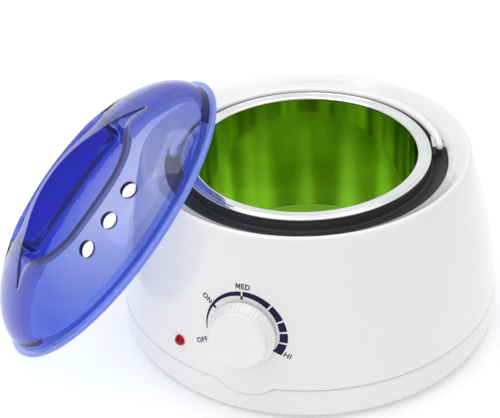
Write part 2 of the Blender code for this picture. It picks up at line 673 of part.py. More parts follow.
def make_bail():
    """Half hoop that lies back round the rim; its axis joins the two lugs."""
    pivot = bpy.data.objects.new("bail_pivot", None)
    PARTS.objects.link(pivot)
    pivot.parent = ROOT
    pivot.matrix_local = at(0.0, BAIL_Y, BAIL_Z)
    steps = 30
    route = [(BAIL_R, -BAIL_OVERHANG, 0.0)]
    route += [on_ring(BAIL_R, 180.0 * step / steps, 0.0) for step in range(steps + 1)]
    route += [(-BAIL_R, -BAIL_OVERHANG, 0.0)]
    curve = tube("bail_curve", route, BAIL_ROD_R, None, parent=pivot)
    curve.data.bevel_resolution = 2
    bail = curve_to_mesh(curve, "bail_handle", WHITE, pivot)
    for number, side in enumerate((-1, 1), 1):
        turn = Matrix.Rotation(math.radians(90.0 * side), 4, "Y")
        inside = at(side * (LUG_IN_R - 0.2)) @ turn
        combine(bail, cylinder(f"pin_bore_{number}", PIN_R + GAP, 9.0, None, inside, 10, parent=pivot),
                "DIFFERENCE")
        outside = at(side * (BAIL_R + BAIL_ROD_R + 1.0)) @ turn.inverted()
        profile = [(0.0, PIN_LENGTH), (PIN_R, PIN_LENGTH), (PIN_R, PIN_HEAD_DEPTH),
                   (PIN_HEAD_R, PIN_HEAD_DEPTH), (PIN_HEAD_R, 0.0), (0.0, 0.0)]
        pin = turned(f"bail_pin_{number}", profile, STEEL, 12, closed=False, parent=pivot)
        pin.matrix_local = outside


def make_bail_lugs():
    for number, side in enumerate((-1, 1), 1):
        size = (LUG_OUT_R - LUG_IN_R, 2 * LUG_HALF_LENGTH, LUG_TOP_Z - LUG_BOTTOM_Z)
        place = at(side * (LUG_IN_R + LUG_OUT_R) / 2, BAIL_Y, LUG_BOTTOM_Z)
        lug = block(f"bail_lug_{number}", size, ALUMINIUM, place)
        across = at(side * (LUG_IN_R + LUG_OUT_R) / 2 - 4.0, BAIL_Y, BAIL_Z)
        turn = Matrix.Rotation(math.radians(90.0), 4, "Y")
        hole = cylinder(f"lug_hole_{number}", PIN_HOLE_R, 8.0, None, across @ turn, 12)
        combine(lug, hole, "DIFFERENCE")


def lid_dome(inset, steps):
    """The dome's outline from the crown down to the flange, set in by inset."""
    base = LID_WALL
    return arc(0.0, base, LID_DOME_R - inset, LID_HEIGHT - inset - base, 90.0, 0.0, steps)


def scoop(name, side, wall, parent):
    """A finger scoop: an oval pocket that stops at the grip's side, grown by a wall."""
    shape = disc_mesh(name, SCOOP_HALF_LENGTH, SCOOP_HALF_LENGTH + SCOOP_DRAFT, LID_HEIGHT, 36)
    wide = (SCOOP_REACH + wall) / SCOOP_HALF_LENGTH
    long = (SCOOP_HALF_LENGTH + wall) / SCOOP_HALF_LENGTH
    shape.transform(Matrix.Diagonal((wide, long, 1.0, 1.0)))
    pocket = add(name, shape, None, parent, at(side * GRIP_HALF, 0.0, SCOOP_FLOOR_Z - wall))
    keep = block(f"{name}_side", (2 * LID_R, 2 * LID_R, 2 * LID_HEIGHT), None,
                 at(side * (GRIP_HALF + LID_R - wall)), parent)
    return combine(pocket, keep, "INTERSECT")


def grip_crest(parent):
    """The grip's top, which arches a little above the dome between the scoops."""
    crest = block("grip_crest", (2 * GRIP_HALF, 2 * GRIP_CREST_HALF, GRIP_TOP_Z), None, at(), parent)
    axis = at(-GRIP_HALF - 1.0, 0.0, GRIP_TOP_Z - GRIP_ARCH_R) @ Matrix.Rotation(math.pi / 2, 4, "Y")
    drum = cylinder("grip_arch", GRIP_ARCH_R, 2 * GRIP_HALF + 2.0, None, axis, 128, parent=parent)
    return combine(crest, drum, "INTERSECT")


def make_lid():
    pivot = bpy.data.objects.new("lid_pivot", None)
    PARTS.objects.link(pivot)
    pivot.parent = ROOT
    lean = Matrix.Rotation(math.radians(LID_TILT), 4, "Y")
    swing = Matrix.Rotation(math.radians(LID_AZIMUTH), 4, "Z")
    spin = Matrix.Rotation(math.radians(LID_SPIN), 4, "Z")
    height = LID_R * math.sin(math.radians(LID_TILT))
    pivot.matrix_local = at(LID_X, LID_Y, height) @ swing @ lean @ spin
    flange = [(LID_R - 0.5, LID_WALL), (LID_R, LID_WALL - 0.5), (LID_R, 0.3), (LID_R - 0.3, 0.0)]
    skirt = [(LID_SKIRT_R, 0.0), (LID_SKIRT_R, -LID_SKIRT_DEPTH), (0.0, -LID_SKIRT_DEPTH)]
    lid = turned("lid_shell", lid_dome(0.0, 8) + flange + skirt, BLUE, closed=False, parent=pivot)
    floor = [(LID_SKIRT_IN_R, LID_WALL), (LID_SKIRT_IN_R, -LID_SKIRT_DEPTH - 2.0),
             (0.0, -LID_SKIRT_DEPTH - 2.0)]
    hollow = turned("lid_hollow", lid_dome(LID_WALL, 6) + floor, None, closed=False, parent=pivot)
    combine(lid, grip_crest(pivot), "UNION")
    for side in (-1, 1):
        combine(lid, scoop(f"scoop_{side + 1}", side, 0.0, pivot), "DIFFERENCE")
        combine(hollow, scoop(f"scoop_wall_{side + 1}", side, LID_WALL, pivot), "DIFFERENCE")
    combine(lid, hollow, "DIFFERENCE")
    for number in range(3):
        turn = Matrix.Rotation(math.radians((number - 1) * VENT_STEP), 4, "Z")
        lean_out = Matrix.Rotation(math.radians(VENT_LEAN), 4, "Y")
        place = turn @ at(VENT_RING_R - 4.0, 0.0, 10.0) @ lean_out
        vent = cylinder(f"vent_{number}", VENT_R, 24.0, None, place, 20, parent=pivot)
        combine(lid, vent, "DIFFERENCE")


def centre_on_origin():
    """Move the whole pot so that its box's bottom centre is the origin."""
    bpy.context.view_layer.update()
    graph = bpy.context.evaluated_depsgraph_get()
    low = Vector((math.inf,) * 3)
    high = Vector((-math.inf,) * 3)
    for piece in PARTS.objects:
        if piece.type == "EMPTY":
            continue
        evaluated = piece.evaluated_get(graph)
        mesh = evaluated.to_mesh()
        for vertex in mesh.vertices:
            place = evaluated.matrix_world @ vertex.co
            low = Vector(map(min, low, place))
            high = Vector(map(max, high, place))
        evaluated.to_mesh_clear()
    middle = (low + high) / 2
    ROOT.location = (-middle.x, -middle.y, -low.z)
    bpy.context.view_layer.update()


make_upper_housing()
make_base_tray()
make_feet()
make_base_screws()
make_rim_collar()
make_heating_well()
make_well_screws()
make_heater()
make_fuse()
make_thermostat()
make_indicator()
make_cord_gland()
make_terminals()
make_leads()
make_dial()
make_inner_pot()
make_wax()
make_bail_lugs()
make_bail()
make_lid()
centre_on_origin()
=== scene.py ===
import json
import math

import bmesh
import bpy
import numpy as np
from mathutils import Matrix, Vector


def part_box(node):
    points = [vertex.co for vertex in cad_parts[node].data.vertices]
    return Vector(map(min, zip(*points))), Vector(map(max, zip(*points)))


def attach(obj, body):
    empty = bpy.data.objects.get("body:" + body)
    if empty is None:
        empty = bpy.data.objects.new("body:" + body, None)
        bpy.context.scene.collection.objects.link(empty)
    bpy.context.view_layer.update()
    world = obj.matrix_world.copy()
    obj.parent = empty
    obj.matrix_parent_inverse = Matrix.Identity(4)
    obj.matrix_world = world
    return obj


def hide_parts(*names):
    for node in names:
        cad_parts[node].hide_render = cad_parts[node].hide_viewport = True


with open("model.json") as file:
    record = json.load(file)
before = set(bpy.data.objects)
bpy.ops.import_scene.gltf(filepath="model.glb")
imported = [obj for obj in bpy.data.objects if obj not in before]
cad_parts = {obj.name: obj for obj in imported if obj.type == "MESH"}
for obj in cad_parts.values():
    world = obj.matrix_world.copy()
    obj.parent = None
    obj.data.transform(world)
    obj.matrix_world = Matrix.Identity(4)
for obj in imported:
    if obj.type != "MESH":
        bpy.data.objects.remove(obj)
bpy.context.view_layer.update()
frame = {"nodes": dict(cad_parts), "record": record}
nodes = frame["nodes"]

MM = 0.001

# The pot's upright axis, from the can; every height is above the table
can_low, can_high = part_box("inner_pot")
AXIS = Vector(((can_low[0] + can_high[0]) / 2, (can_low[1] + can_high[1]) / 2, 0.0))
AT_AXIS = Matrix.Translation(AXIS)

# Housing and tray (millimetres, as in the CAD)
WALL = 2.5
OPENING_R = 68.0
OPENING_Z = 83.8
DISH_R = 72.2
DISH_Z = 86.4
CREST_R = 78.0
CREST_Z = 90.8
BELLY_R = 93.9
SEAM_Z = 18.0
SIDE_SLOPE = 0.085
SIDE_BEND = 0.00176
SEAM_GAP = 0.3
TRAY_EDGE_R = 94.3
TRAY_EDGE_Z = 8.5
TRAY_FOOT_Z = 1.2
FLOOR_Z = 4.0
LIP_R = 90.4
DIAL_AZIMUTH = -108.8
DIAL_Z = 45.6
DIP_R = 22.0
DIP_CENTRE_Z = 35.1
SIDE_STEPS = 240
DIP_STEPS = 40

# Can, collar and bail
COLLAR_TOP_Z = 85.2
COLLAR_IN_R = 57.0
COLLAR_WALL_R = 59.9
COLLAR_BAND_Z = 81.0
COLLAR_UNDER_Z = 78.8
COLLAR_FLANGE_R = 72.0
CAN_R = 53.4
CAN_WALL = 0.9
CAN_RIM_Z = 87.6
CAN_FLOOR_Z = 14.5
CAN_CORNER = 6.0
BEAD_IN_R = 58.5
BEAD_R = 60.1
WAX_Z = 21.6
BAIL_R = 64.2
BAIL_ROD_R = 1.9
BAIL_HALF_WIDTH = 2.9
BAIL_INSET = 1.2
BAIL_OVERHANG = 2.4
BAIL_STEPS = 180
BAIL_END_STEPS = 10
BAIL_SIDES = 28
BAIL_Z = 86.6
BAIL_Y = 2.0

# Dial and lamp
KNOB_SKIRT_R = 15.2
KNOB_FACE_R = 13.3
KNOB_HEIGHT = 9.2
KNOB_CLEARANCE = 0.9
KNOB_FLUTES = 44
FLUTE_DEPTH = 0.2
FLUTE_STEPS = 8
LAMP_AZIMUTH = -129.9
LAMP_Z = 30.4
LENS_R = 2.65
LENS_DOME = 2.5
LENS_FLANGE_R = 3.8
LENS_FLANGE_Z = -2.9
LENS_BACK_Z = -3.9

# Printed scale round the dial (millimetres and degrees), and its words:
# text, letter size, place across and up from the dial's centre, and tilt
SCALE_R = 17.2
SCALE_START = 189.0
SCALE_STOP = -27.5
SCALE_THIN = 0.35
SCALE_WIDE = 4.0
SCALE_GROWTH = 0.87
SCALE_SHIFT = -0.9
SCALE_TUCK = 1.2
TUCK_FROM = -5.0
TICK_LONG = 1.5
TICK_HALF = 0.55
SCALE_GAPS = (92.0, 47.5, 22.5, 6.5, -9.5)
SCALE_GAP_HALF = 1.3
PRINT_LIFT = 0.03
PRINT_THICK = 0.05
SCALE_TICKS = (("on", 146.0), ("med", 92.0), ("hi", SCALE_STOP + 1.9))
WORDS = (("off", "OFF", 3.4, -20.6, -9.9, 27.0), ("on", "ON", 3.3, -18.8, 12.1, -34.0),
         ("m", "M", 3.4, -3.5, 21.6, 0.0), ("ed", "ED", 3.4, 0.2, 21.6, 0.0),
         ("hi", "HI", 3.5, 19.6, -9.3, -25.0))
# Outline of a capital M in a unit square
LETTER_M = ((0.0, 0.0), (0.0, 1.0), (0.25, 1.0), (0.5, 0.46), (0.75, 1.0), (1.0, 1.0), (1.0, 0.0),
            (0.8, 0.0), (0.8, 0.64), (0.58, 0.16), (0.42, 0.16), (0.2, 0.64), (0.2, 0.0))
LETTER_BOLD = 0.08
CAP_HEIGHT = 0.73

# Lid, about its own axis, and where it leans
LID_R = 79.9
LID_WALL = 2.2
DOME_R = 77.1
LID_HEIGHT = 34.6
SKIRT_R = 72.0
SKIRT_IN_R = 70.0
SKIRT_DEPTH = 2.0
GRIP_TOP_Z = 37.4
GRIP_ARCH_R = 83.0
SCOOP_FLOOR_Z = 22.6
VENT_R = 4.0
VENT_STEP = 14.4
LID_AZIMUTH = 183.8
LID_TILT = 45.5
LID_SPIN = 117.0
LID_X = -96.3
LID_Y = -6.4
VENT_LEAN = 30.0
VENT_ROOT_R = 58.0
VENT_ROOT_Z = 10.0
VENT_DEPTH = 24.0

# Middle of the lid's paler part, about the lid's own axis, and the distances (metres) where it fades
PALE_SPOT = (48.0, 16.0, 14.0)
PALE_REACH = (0.02, 0.068)

# Plan of one finger scoop: distance along the grip, then its inner and outer edges
SCOOP_PLAN = ((0.0, 2.4, 51.0), (10.0, 2.6, 50.2), (20.0, 4.0, 47.4), (28.0, 6.2, 41.8),
              (33.0, 8.0, 35.6), (37.0, 10.2, 28.6), (43.5, 15.0, 22.8), (51.5, 22.0, 23.8))
# Depth of the scoop's floor below the dome, by distance along the grip
SCOOP_DEPTHS = ((0.0, 30.0), (26.0, 17.0), (33.0, 9.0), (38.0, 1.6), (44.0, 0.9), (51.5, 0.5), (53.0, 0.0))
SCOOP_TIP = 51.5
GRIP_WALL_SLOPE = 6.0
SCOOP_WALL_SLOPE = 1.15
GRIP_END = 34.0
GRIP_TURN = GRIP_END - 0.2
EDGE_WIDTH = 1.4
FOOT_LINE = 0.8
RIM_LINE = 5.0
# Painted shade: dark bands near the lid's two ends, where the wall is seen edge-on: azimuths, then heights
RIM_BANDS = ((52.0, 82.0, 2.4, 6.4), (-80.0, -56.0, 4.6, 6.8))
SKIN_STEPS = 16

# Rows of the lid's grid and the angle of the last one; its columns, from the grip outwards
LID_ROWS = 200
LID_ROW_END = 88.5
GRIP_COLUMNS = 12
WALL_COLUMNS = 9
LINE_COLUMNS = 3
FLOOR_COLUMNS = 16
BANK_COLUMNS = 7
BRIM_COLUMNS = 22
BANK_FIRST = WALL_COLUMNS + LINE_COLUMNS + FLOOR_COLUMNS
BRIM_FIRST = BANK_FIRST + BANK_COLUMNS

# Finishes of the lid's facets, in the order of its materials
CLEAR, GRIP, SHADE_LINE, BANK, FLANGE, RIM = range(6)

# Lights: name, place from the pot's middle (metres), width and height (metres), power (watts)
LIGHTS = (("key", (-0.5, -0.35, 0.95), (0.8, 0.8), 2.0), ("fill", (0.95, -0.5, 0.55), (0.7, 0.9), 0.05),
          ("top", (0.05, 0.25, 1.1), (1.0, 0.7), 3.3), ("back", (0.1, 1.15, 0.8), (1.1, 0.8), 0.35))
LIGHT_TARGET_Z = 60.0
SKY = 0.75
FLOOR_HALF = 3.0

# Camera: its axes, its place from the pot's foot (millimetres), its lens and its reach (metres)
CAMERA_RIGHT = (0.9984, 0.0259, -0.0496)
CAMERA_UP = (0.0274, 0.5461, 0.8372)
CAMERA_FORWARD = (-0.0488, 0.8373, -0.5446)
CAMERA_PLACE = (0.0, -482.7, 368.5)
CAMERA_LENS = 83.6
CAMERA_REACH = (0.01, 20.0)


# ---------------------------------------------------------------- mesh helpers

def add_object(name, data):
    made = bpy.data.objects.new(name, data)
    bpy.context.scene.collection.objects.link(made)
    return made


def make_object(name, points, faces, finishes, smooth_angle=35.0):
    """A mesh object from points in metres; finishes is a list of materials."""
    mesh = bpy.data.meshes.new(name)
    mesh.from_pydata([tuple(p) for p in points], [], [tuple(f) for f in faces])
    mesh.validate()
    shape = bmesh.new()
    shape.from_mesh(mesh)
    bmesh.ops.remove_doubles(shape, verts=shape.verts, dist=1e-7)
    bmesh.ops.recalc_face_normals(shape, faces=shape.faces)
    shape.to_mesh(mesh)
    shape.free()
    mesh.shade_smooth()
    mesh.set_sharp_from_angle(angle=math.radians(smooth_angle))
    for finish in finishes:
        mesh.materials.append(finish)
    return add_object(name, mesh)


def settle(piece, body, slot, *replaced):
    """Ride a piece on its body and hide the CAD nodes it stands for. The slot is not used."""
    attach(piece, body)
    if replaced:
        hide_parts(*replaced)


def arc(centre_r, centre_z, radius_r, radius_z, start, stop, steps):
    points = []
    for step in range(steps + 1):
        turn = math.radians(start + (stop - start) * step / steps)
        points.append((centre_r + radius_r * math.cos(turn), centre_z + radius_z * math.sin(turn)))
    return points


def rounded(profile, radius, steps=4, closed=True):
    """Round the corners of a profile of (r, z) or (r, z, radius) points."""
    out = []
    count = len(profile)
    for i, point in enumerate(profile):
        size = point[2] if len(point) > 2 else radius
        here = Vector(point[:2])
        if size <= 0.0 or (not closed and i in (0, count - 1)):
            out.append(tuple(here))
            continue
        before = Vector(profile[i - 1][:2]) - here
        after = Vector(profile[(i + 1) % count][:2]) - here
        angle = before.angle(after)
        if angle > math.radians(176.0):
            out.append(tuple(here))
            continue
        cut = min(size / math.tan(angle / 2), 0.48 * min(before.length, after.length))
        size = cut * math.tan(angle / 2)
        middle = (before.normalized() + after.normalized()).normalized()
        centre = here + middle * (size / math.sin(angle / 2))
        first = here + before.normalized() * cut - centre
        last = here + after.normalized() * cut - centre
        sweep = first.angle_signed(last)
        for step in range(steps + 1):
            turn = -sweep * step / steps
            turned = Vector((first.x * math.cos(turn) - first.y * math.sin(turn),
                             first.x * math.sin(turn) + first.y * math.cos(turn)))
            out.append(tuple(centre + turned))
    return out


def azimuths(count):
    return [2 * math.pi * i / count for i in range(count)]


def turn_profile(profile, angles, place, lift=None):
    """Points and faces of a profile turned round its upright axis, and set at its place."""
    rows, count = len(profile), len(angles)
    points = []
    faces = []
    for angle in angles:
        for row, (r, z) in enumerate(profile):
            if lift is not None:
                r, z = lift(row, angle, r, z)
            spot = Vector((r * MM * math.cos(angle), r * MM * math.sin(angle), z * MM))
            points.append(place @ spot)
    for i in range(count):
        j = (i + 1) % count
        for row in range(rows - 1):
            a, b = i * rows + row, i * rows + row + 1
            c, d = j * rows + row + 1, j * rows + row
            faces.append((a, b, c, d))
    return points, faces


def tidy_fans(points, faces):
    """Drop corners that repeat a point, so that quads on the axis become triangles."""
    out = []
    for face in faces:
        kept = []
        for index in face:
            if all((points[index] - points[other]).length > 1e-7 for other in kept):
                kept.append(index)
        if len(kept) > 2:
            out.append(kept)
    return out


def bridge(faces, one, two):
    """Join two closed loops of points with quads."""
    count = len(one)
    for k in range(count):
        n = (k + 1) % count
        faces.append((one[k], one[n], two[n], two[k]))


def grid_edge(rows, columns):
    """Indices round the edge of a grid, in order."""
    edge = list(range(columns)) + [i * columns + columns - 1 for i in range(1, rows)]
    edge += [(rows - 1) * columns + j for j in range(columns - 2, -1, -1)]
    edge += [i * columns for i in range(rows - 2, 0, -1)]
    return edge


def turned(name, profile, finishes, count, place, closed=True):
    ring = profile + [profile[0]] if closed else profile
    points, faces = turn_profile(ring, azimuths(count), place)
    if any(abs(r) < 1e-6 for r, _ in ring):
        faces = tidy_fans(points, faces)
    return make_object(name, points, faces, finishes)


def side_radius(height):
    rise = height - SEAM_Z
    return BELLY_R - SIDE_SLOPE * rise - SIDE_BEND * rise * rise


def side_place(azimuth, height, lift=0.0):
    """World frame on the housing's side: X to the right seen from outside, Z straight out."""
    turn = math.radians(azimuth)
    slope = SIDE_SLOPE + 2 * SIDE_BEND * (height - SEAM_Z)
    out = Vector((math.cos(turn), math.sin(turn), slope)).normalized()
    right = Vector((-math.sin(turn), math.cos(turn), 0.0))
    radius = side_radius(height)
    spot = Vector((radius * math.cos(turn), radius * math.sin(turn), height)) + out * lift
    made = Matrix((right, out.cross(right), out)).transposed().to_4x4()
    made.translation = AXIS + spot * MM
    return made


def on_side(across, rise, lift=0.0):
    """Point on the housing's side, across and up from the dial's centre, in metres."""
    slope = SIDE_SLOPE + 2 * SIDE_BEND * (DIAL_Z - SEAM_Z)
    height = DIAL_Z + rise / math.sqrt(1 + slope * slope)
    azimuth = DIAL_AZIMUTH + math.degrees(across / side_radius(DIAL_Z))
    return side_place(azimuth, height, lift).translation


def lid_place():
    """World frame of the leaning lid, about its own axis."""
    lean = Matrix.Rotation(math.radians(LID_TILT), 4, "Y")
    swing = Matrix.Rotation(math.radians(LID_AZIMUTH), 4, "Z")
    spin = Matrix.Rotation(math.radians(LID_SPIN), 4, "Z")
    height = LID_R * math.sin(math.radians(LID_TILT))
    spot = AXIS + Vector((LID_X, LID_Y, height)) * MM
    return Matrix.Translation(spot) @ swing @ lean @ spin


# ---------------------------------------------------------------- materials

def new_material(name, colour, roughness, metallic=0.0, **sockets):
    made = bpy.data.materials.new(name)
    made.use_nodes = True
    shader = made.node_tree.nodes["Principled BSDF"]
    shader.inputs["Base Color"].default_value = (*colour, 1.0)
    shader.inputs["Roughness"].default_value = roughness
    shader.inputs["Metallic"].default_value = metallic
    for label, value in sockets.items():
        shader.inputs[label.replace("_", " ")].default_value = value
    return made, made.node_tree, shader


def object_coords(tree, scale=(1.0, 1.0, 1.0)):
    coords = tree.nodes.new("ShaderNodeTexCoord")
    mapping = tree.nodes.new("ShaderNodeMapping")
    mapping.inputs["Scale"].default_value = scale
    tree.links.new(coords.outputs["Object"], mapping.inputs["Vector"])
    return mapping.outputs["Vector"]


def noise(tree, vector, scale, detail=3.0, rough=0.5):
    made = tree.nodes.new("ShaderNodeTexNoise")
    made.inputs["Scale"].default_value = scale
    made.inputs["Detail"].default_value = detail
    made.inputs["Roughness"].default_value = rough
    tree.links.new(vector, made.inputs["Vector"])
    return made.outputs["Fac"]


def spread(tree, value, low, high, start=0.3, stop=0.7):
    """Map a value from start..stop to low..high."""
    made = tree.nodes.new("ShaderNodeMapRange")
    made.inputs["From Min"].default_value = start
    made.inputs["From Max"].default_value = stop
    made.inputs["To Min"].default_value = low
    made.inputs["To Max"].default_value = high
    tree.links.new(value, made.inputs["Value"])
    return made.outputs["Result"]


def ramp(tree, value, stops):
    made = tree.nodes.new("ShaderNodeValToRGB")
    while len(made.color_ramp.elements) < len(stops):
        made.color_ramp.elements.new(0.5)
    for element, (place, colour) in zip(made.color_ramp.elements, stops):
        element.position = place
        element.color = (*colour, 1.0)
    tree.links.new(value, made.inputs["Fac"])
    return made.outputs["Color"]


def multiply_add(tree, value, factor, added):
    made = tree.nodes.new("ShaderNodeMath")
    made.operation = "MULTIPLY_ADD"
    made.inputs[1].default_value = factor
    tree.links.new(value, made.inputs[0])
    tree.links.new(added, made.inputs[2])
    return made.outputs["Value"]


def bump(tree, shader, height, distance, strength=1.0):
    made = tree.nodes.new("ShaderNodeBump")
    made.inputs["Strength"].default_value = strength
    made.inputs["Distance"].default_value = distance
    tree.links.new(height, made.inputs["Height"])
    tree.links.new(made.outputs["Normal"], shader.inputs["Normal"])


def paint(tree, shader, value, stops):
    tree.links.new(ramp(tree, value, stops), shader.inputs["Base Color"])


def roughen(tree, shader, value, low, high):
    tree.links.new(spread(tree, value, low, high), shader.inputs["Roughness"])


def moulded(name, base, deep, roughness, grain=0.00004, coat=0.0, scale=900.0, gloss=0.5):
    """Moulded plastic: a faint flow of tone, uneven gloss and a fine orange peel."""
    made, tree, shader = new_material(name, base, roughness, Coat_Weight=coat, Coat_Roughness=0.06,
                                      Specular_IOR_Level=gloss)
    vector = object_coords(tree)
    flow = noise(tree, vector, 18.0, 2.0)
    paint(tree, shader, flow, [(0.35, base), (0.75, deep)])
    cloud = noise(tree, vector, 60.0, 4.0)
    roughen(tree, shader, cloud, roughness * 0.8, roughness * 1.3)
    bump(tree, shader, noise(tree, vector, scale, 2.0), grain)
    return made


def metal(name, base, deep, roughness, stretch, scale, grain=0.00002):
    """Worked metal: fine lines along one direction, drawn by a stretched noise."""
    made, tree, shader = new_material(name, base, roughness, metallic=1.0)
    vector = object_coords(tree, stretch)
    lines = noise(tree, vector, scale, 3.0, 0.6)
    paint(tree, shader, lines, [(0.3, deep), (0.7, base)])
    roughen(tree, shader, lines, roughness * 1.4, roughness * 0.7)
    bump(tree, shader, lines, grain)
    return made


def from_point(tree, operation, point):
    """Compare each place on the piece with a point in the world's frame, in metres."""
    coords = tree.nodes.new("ShaderNodeTexCoord")
    made = tree.nodes.new("ShaderNodeVectorMath")
    made.operation = operation
    made.inputs[1].default_value = point
    tree.links.new(coords.outputs["Object"], made.inputs[0])
    return made.outputs


def polished_can(name, dull, bright, fade, glow=None):
    """Spun aluminium polished by hand: upright streaks, duller higher up by the fade per metre.

    The glow is painted light, given off by the wall itself in place of the wax pool's green reflection."""
    made, tree, shader = new_material(name, bright, 0.12, metallic=1.0)
    place = from_point(tree, "SUBTRACT", AXIS)["Vector"]
    stretch = tree.nodes.new("ShaderNodeMapping")
    stretch.inputs["Scale"].default_value = (1.0, 1.0, 0.04)
    tree.links.new(place, stretch.inputs["Vector"])
    streaks = noise(tree, stretch.outputs["Vector"], 45.0, 1.5, 0.5)
    parts = tree.nodes.new("ShaderNodeSeparateXYZ")
    tree.links.new(place, parts.inputs["Vector"])
    shine = multiply_add(tree, parts.outputs["Z"], -fade, spread(tree, streaks, 0.1, 1.3))
    tone = ramp(tree, shine, [(0.0, dull), (1.0, bright)])
    tree.links.new(tone, shader.inputs["Base Color"])
    if glow:
        lit = ramp(tree, shine, [(0.25, (0.0, 0.0, 0.0)), (0.9, glow)])
        tree.links.new(lit, shader.inputs["Emission Color"])
        shader.inputs["Emission Strength"].default_value = 1.0
    roughen(tree, shader, streaks, 0.05, 0.13)
    bump(tree, shader, streaks, 0.0007, 0.6)
    return made


def green_wax():
    """Melted wax: wet, with slow swirls of a lighter green."""
    made, tree, shader = new_material("green_wax", (0.24, 0.6, 0.01), 0.2, Specular_IOR_Level=0.3,
                                      Subsurface_Weight=0.2, Subsurface_Scale=0.008,
                                      Subsurface_Radius=(0.3, 1.0, 0.1))
    vector = object_coords(tree)
    swirl = noise(tree, vector, 22.0, 3.0)
    paint(tree, shader, swirl, [(0.3, (0.17, 0.46, 0.008)), (0.7, (0.33, 0.8, 0.02))])
    roughen(tree, shader, swirl, 0.15, 0.3)
    bump(tree, shader, swirl, 0.0008, 0.4)
    return made


def paler_middle(tree, tone, pale):
    """Blend from the pale tone to the other one with the distance from the lid's middle."""
    away = from_point(tree, "DISTANCE", lid_place() @ (Vector(PALE_SPOT) * MM))["Value"]
    mix = tree.nodes.new("ShaderNodeMixRGB")
    tree.links.new(spread(tree, away, 0.0, 1.0, *PALE_REACH), mix.inputs["Fac"])
    tree.links.new(pale, mix.inputs["Color1"])
    tree.links.new(tone, mix.inputs["Color2"])
    return mix.outputs["Color"]


def let_lamps_through(tree, shader, shade):
    """Shadow and diffuse rays pass straight through, tinted by the shade."""
    path = tree.nodes.new("ShaderNodeLightPath")
    either = tree.nodes.new("ShaderNodeMath")
    either.operation = "MAXIMUM"
    tree.links.new(path.outputs["Is Shadow Ray"], either.inputs[0])
    tree.links.new(path.outputs["Is Diffuse Ray"], either.inputs[1])
    through = tree.nodes.new("ShaderNodeBsdfTransparent")
    through.inputs["Color"].default_value = (*shade, 1.0)
    mix = tree.nodes.new("ShaderNodeMixShader")
    tree.links.new(either.outputs["Value"], mix.inputs["Fac"])
    tree.links.new(shader.outputs["BSDF"], mix.inputs[1])
    tree.links.new(through.outputs["BSDF"], mix.inputs[2])
    tree.links.new(mix.outputs["Shader"], tree.nodes["Material Output"].inputs["Surface"])


def clear_plastic(name, tint, deep, roughness, shade, clarity=1.0, gloss=0.4, reach=0.95, pale=None):
    """Transparent moulded plastic, deeper where it is seen edge-on; lamps shine through it."""
    made, tree, shader = new_material(name, tint, roughness, Transmission_Weight=clarity, IOR=1.49,
                                      Specular_IOR_Level=gloss)
    vector = object_coords(tree)
    facing = tree.nodes.new("ShaderNodeLayerWeight")
    facing.inputs["Blend"].default_value = 0.35
    sight = multiply_add(tree, noise(tree, vector, 25.0, 2.0), 0.12, facing.outputs["Facing"])
    tone = ramp(tree, sight, [(0.3, tint), (reach, deep)])
    if pale:
        tone = paler_middle(tree, tone, ramp(tree, sight, [(0.3, pale), (reach, deep)]))
    tree.links.new(tone, shader.inputs["Base Color"])
    bump(tree, shader, noise(tree, vector, 120.0, 2.0), 0.00003)
    let_lamps_through(tree, shader, shade)
    return made


def red_lens():
    """Red lens with its lamp alight behind it."""
    made, tree, shader = new_material("red_lens", (0.4, 0.0, 0.008), 0.2, Specular_IOR_Level=0.25,
                                      Emission_Color=(0.9, 0.0, 0.02, 1.0), Emission_Strength=0.14)
    vector = object_coords(tree)
    glow = noise(tree, vector, 500.0, 1.0)
    paint(tree, shader, glow, [(0.35, (0.1, 0.0, 0.003)), (0.65, (0.45, 0.001, 0.01))])
    return made


def printed_ink():
    made, tree, shader = new_material("printed_ink", (0.018, 0.012, 0.06), 0.4, Specular_IOR_Level=0.15)
    vector = object_coords(tree)
    screen = noise(tree, vector, 1500.0, 2.0)
    paint(tree, shader, screen, [(0.3, (0.008, 0.005, 0.042)), (0.75, (0.018, 0.012, 0.075))])
    roughen(tree, shader, screen, 0.35, 0.5)
    return made


def woven(name, base, deep, scale):
    """A braided sleeve or a ribbed mat: waves across the piece with noise between."""
    made, tree, shader = new_material(name, base, 0.7)
    vector = object_coords(tree)
    wave = tree.nodes.new("ShaderNodeTexWave")
    wave.inputs["Scale"].default_value = scale
    wave.inputs["Distortion"].default_value = 1.5
    tree.links.new(vector, wave.inputs["Vector"])
    paint(tree, shader, wave.outputs["Fac"], [(0.2, deep), (0.8, base)])
    bump(tree, shader, wave.outputs["Fac"], 0.0001)
    return made


WHITE = moulded("white_plastic", (0.86, 0.86, 0.853), (0.83, 0.83, 0.823), 0.16, coat=0.5)
BLACK = moulded("black_plastic", (0.034, 0.037, 0.041), (0.046, 0.05, 0.055), 0.42, grain=0.00006,
                gloss=0.25)
CAN = polished_can("polished_aluminium", (0.84, 0.85, 0.86), (0.95, 0.95, 0.95), 4.0)
# Painted reflection: the can's inside is tinted green, darker up the wall by the fade, and glows faintly,
# standing in for the wax pool mirrored in the polished wall
WAX_REFLECTION_PAINT = polished_can("aluminium_painted_wax_reflection", (0.34, 0.4, 0.1), (1.0, 1.0, 0.6), 10.0, (0.09, 0.25, 0.012))
ALUMINIUM = metal("spun_aluminium", (0.88, 0.88, 0.9), (0.7, 0.7, 0.72), 0.16, (1.0, 1.0, 14.0), 220.0)
STEEL = metal("plated_steel", (0.66, 0.66, 0.68), (0.5, 0.5, 0.52), 0.28, (1.0, 6.0, 1.0), 400.0)
BRASS = metal("turned_brass", (0.78, 0.58, 0.24), (0.6, 0.42, 0.16), 0.25, (1.0, 1.0, 8.0), 400.0)
WAX = green_wax()
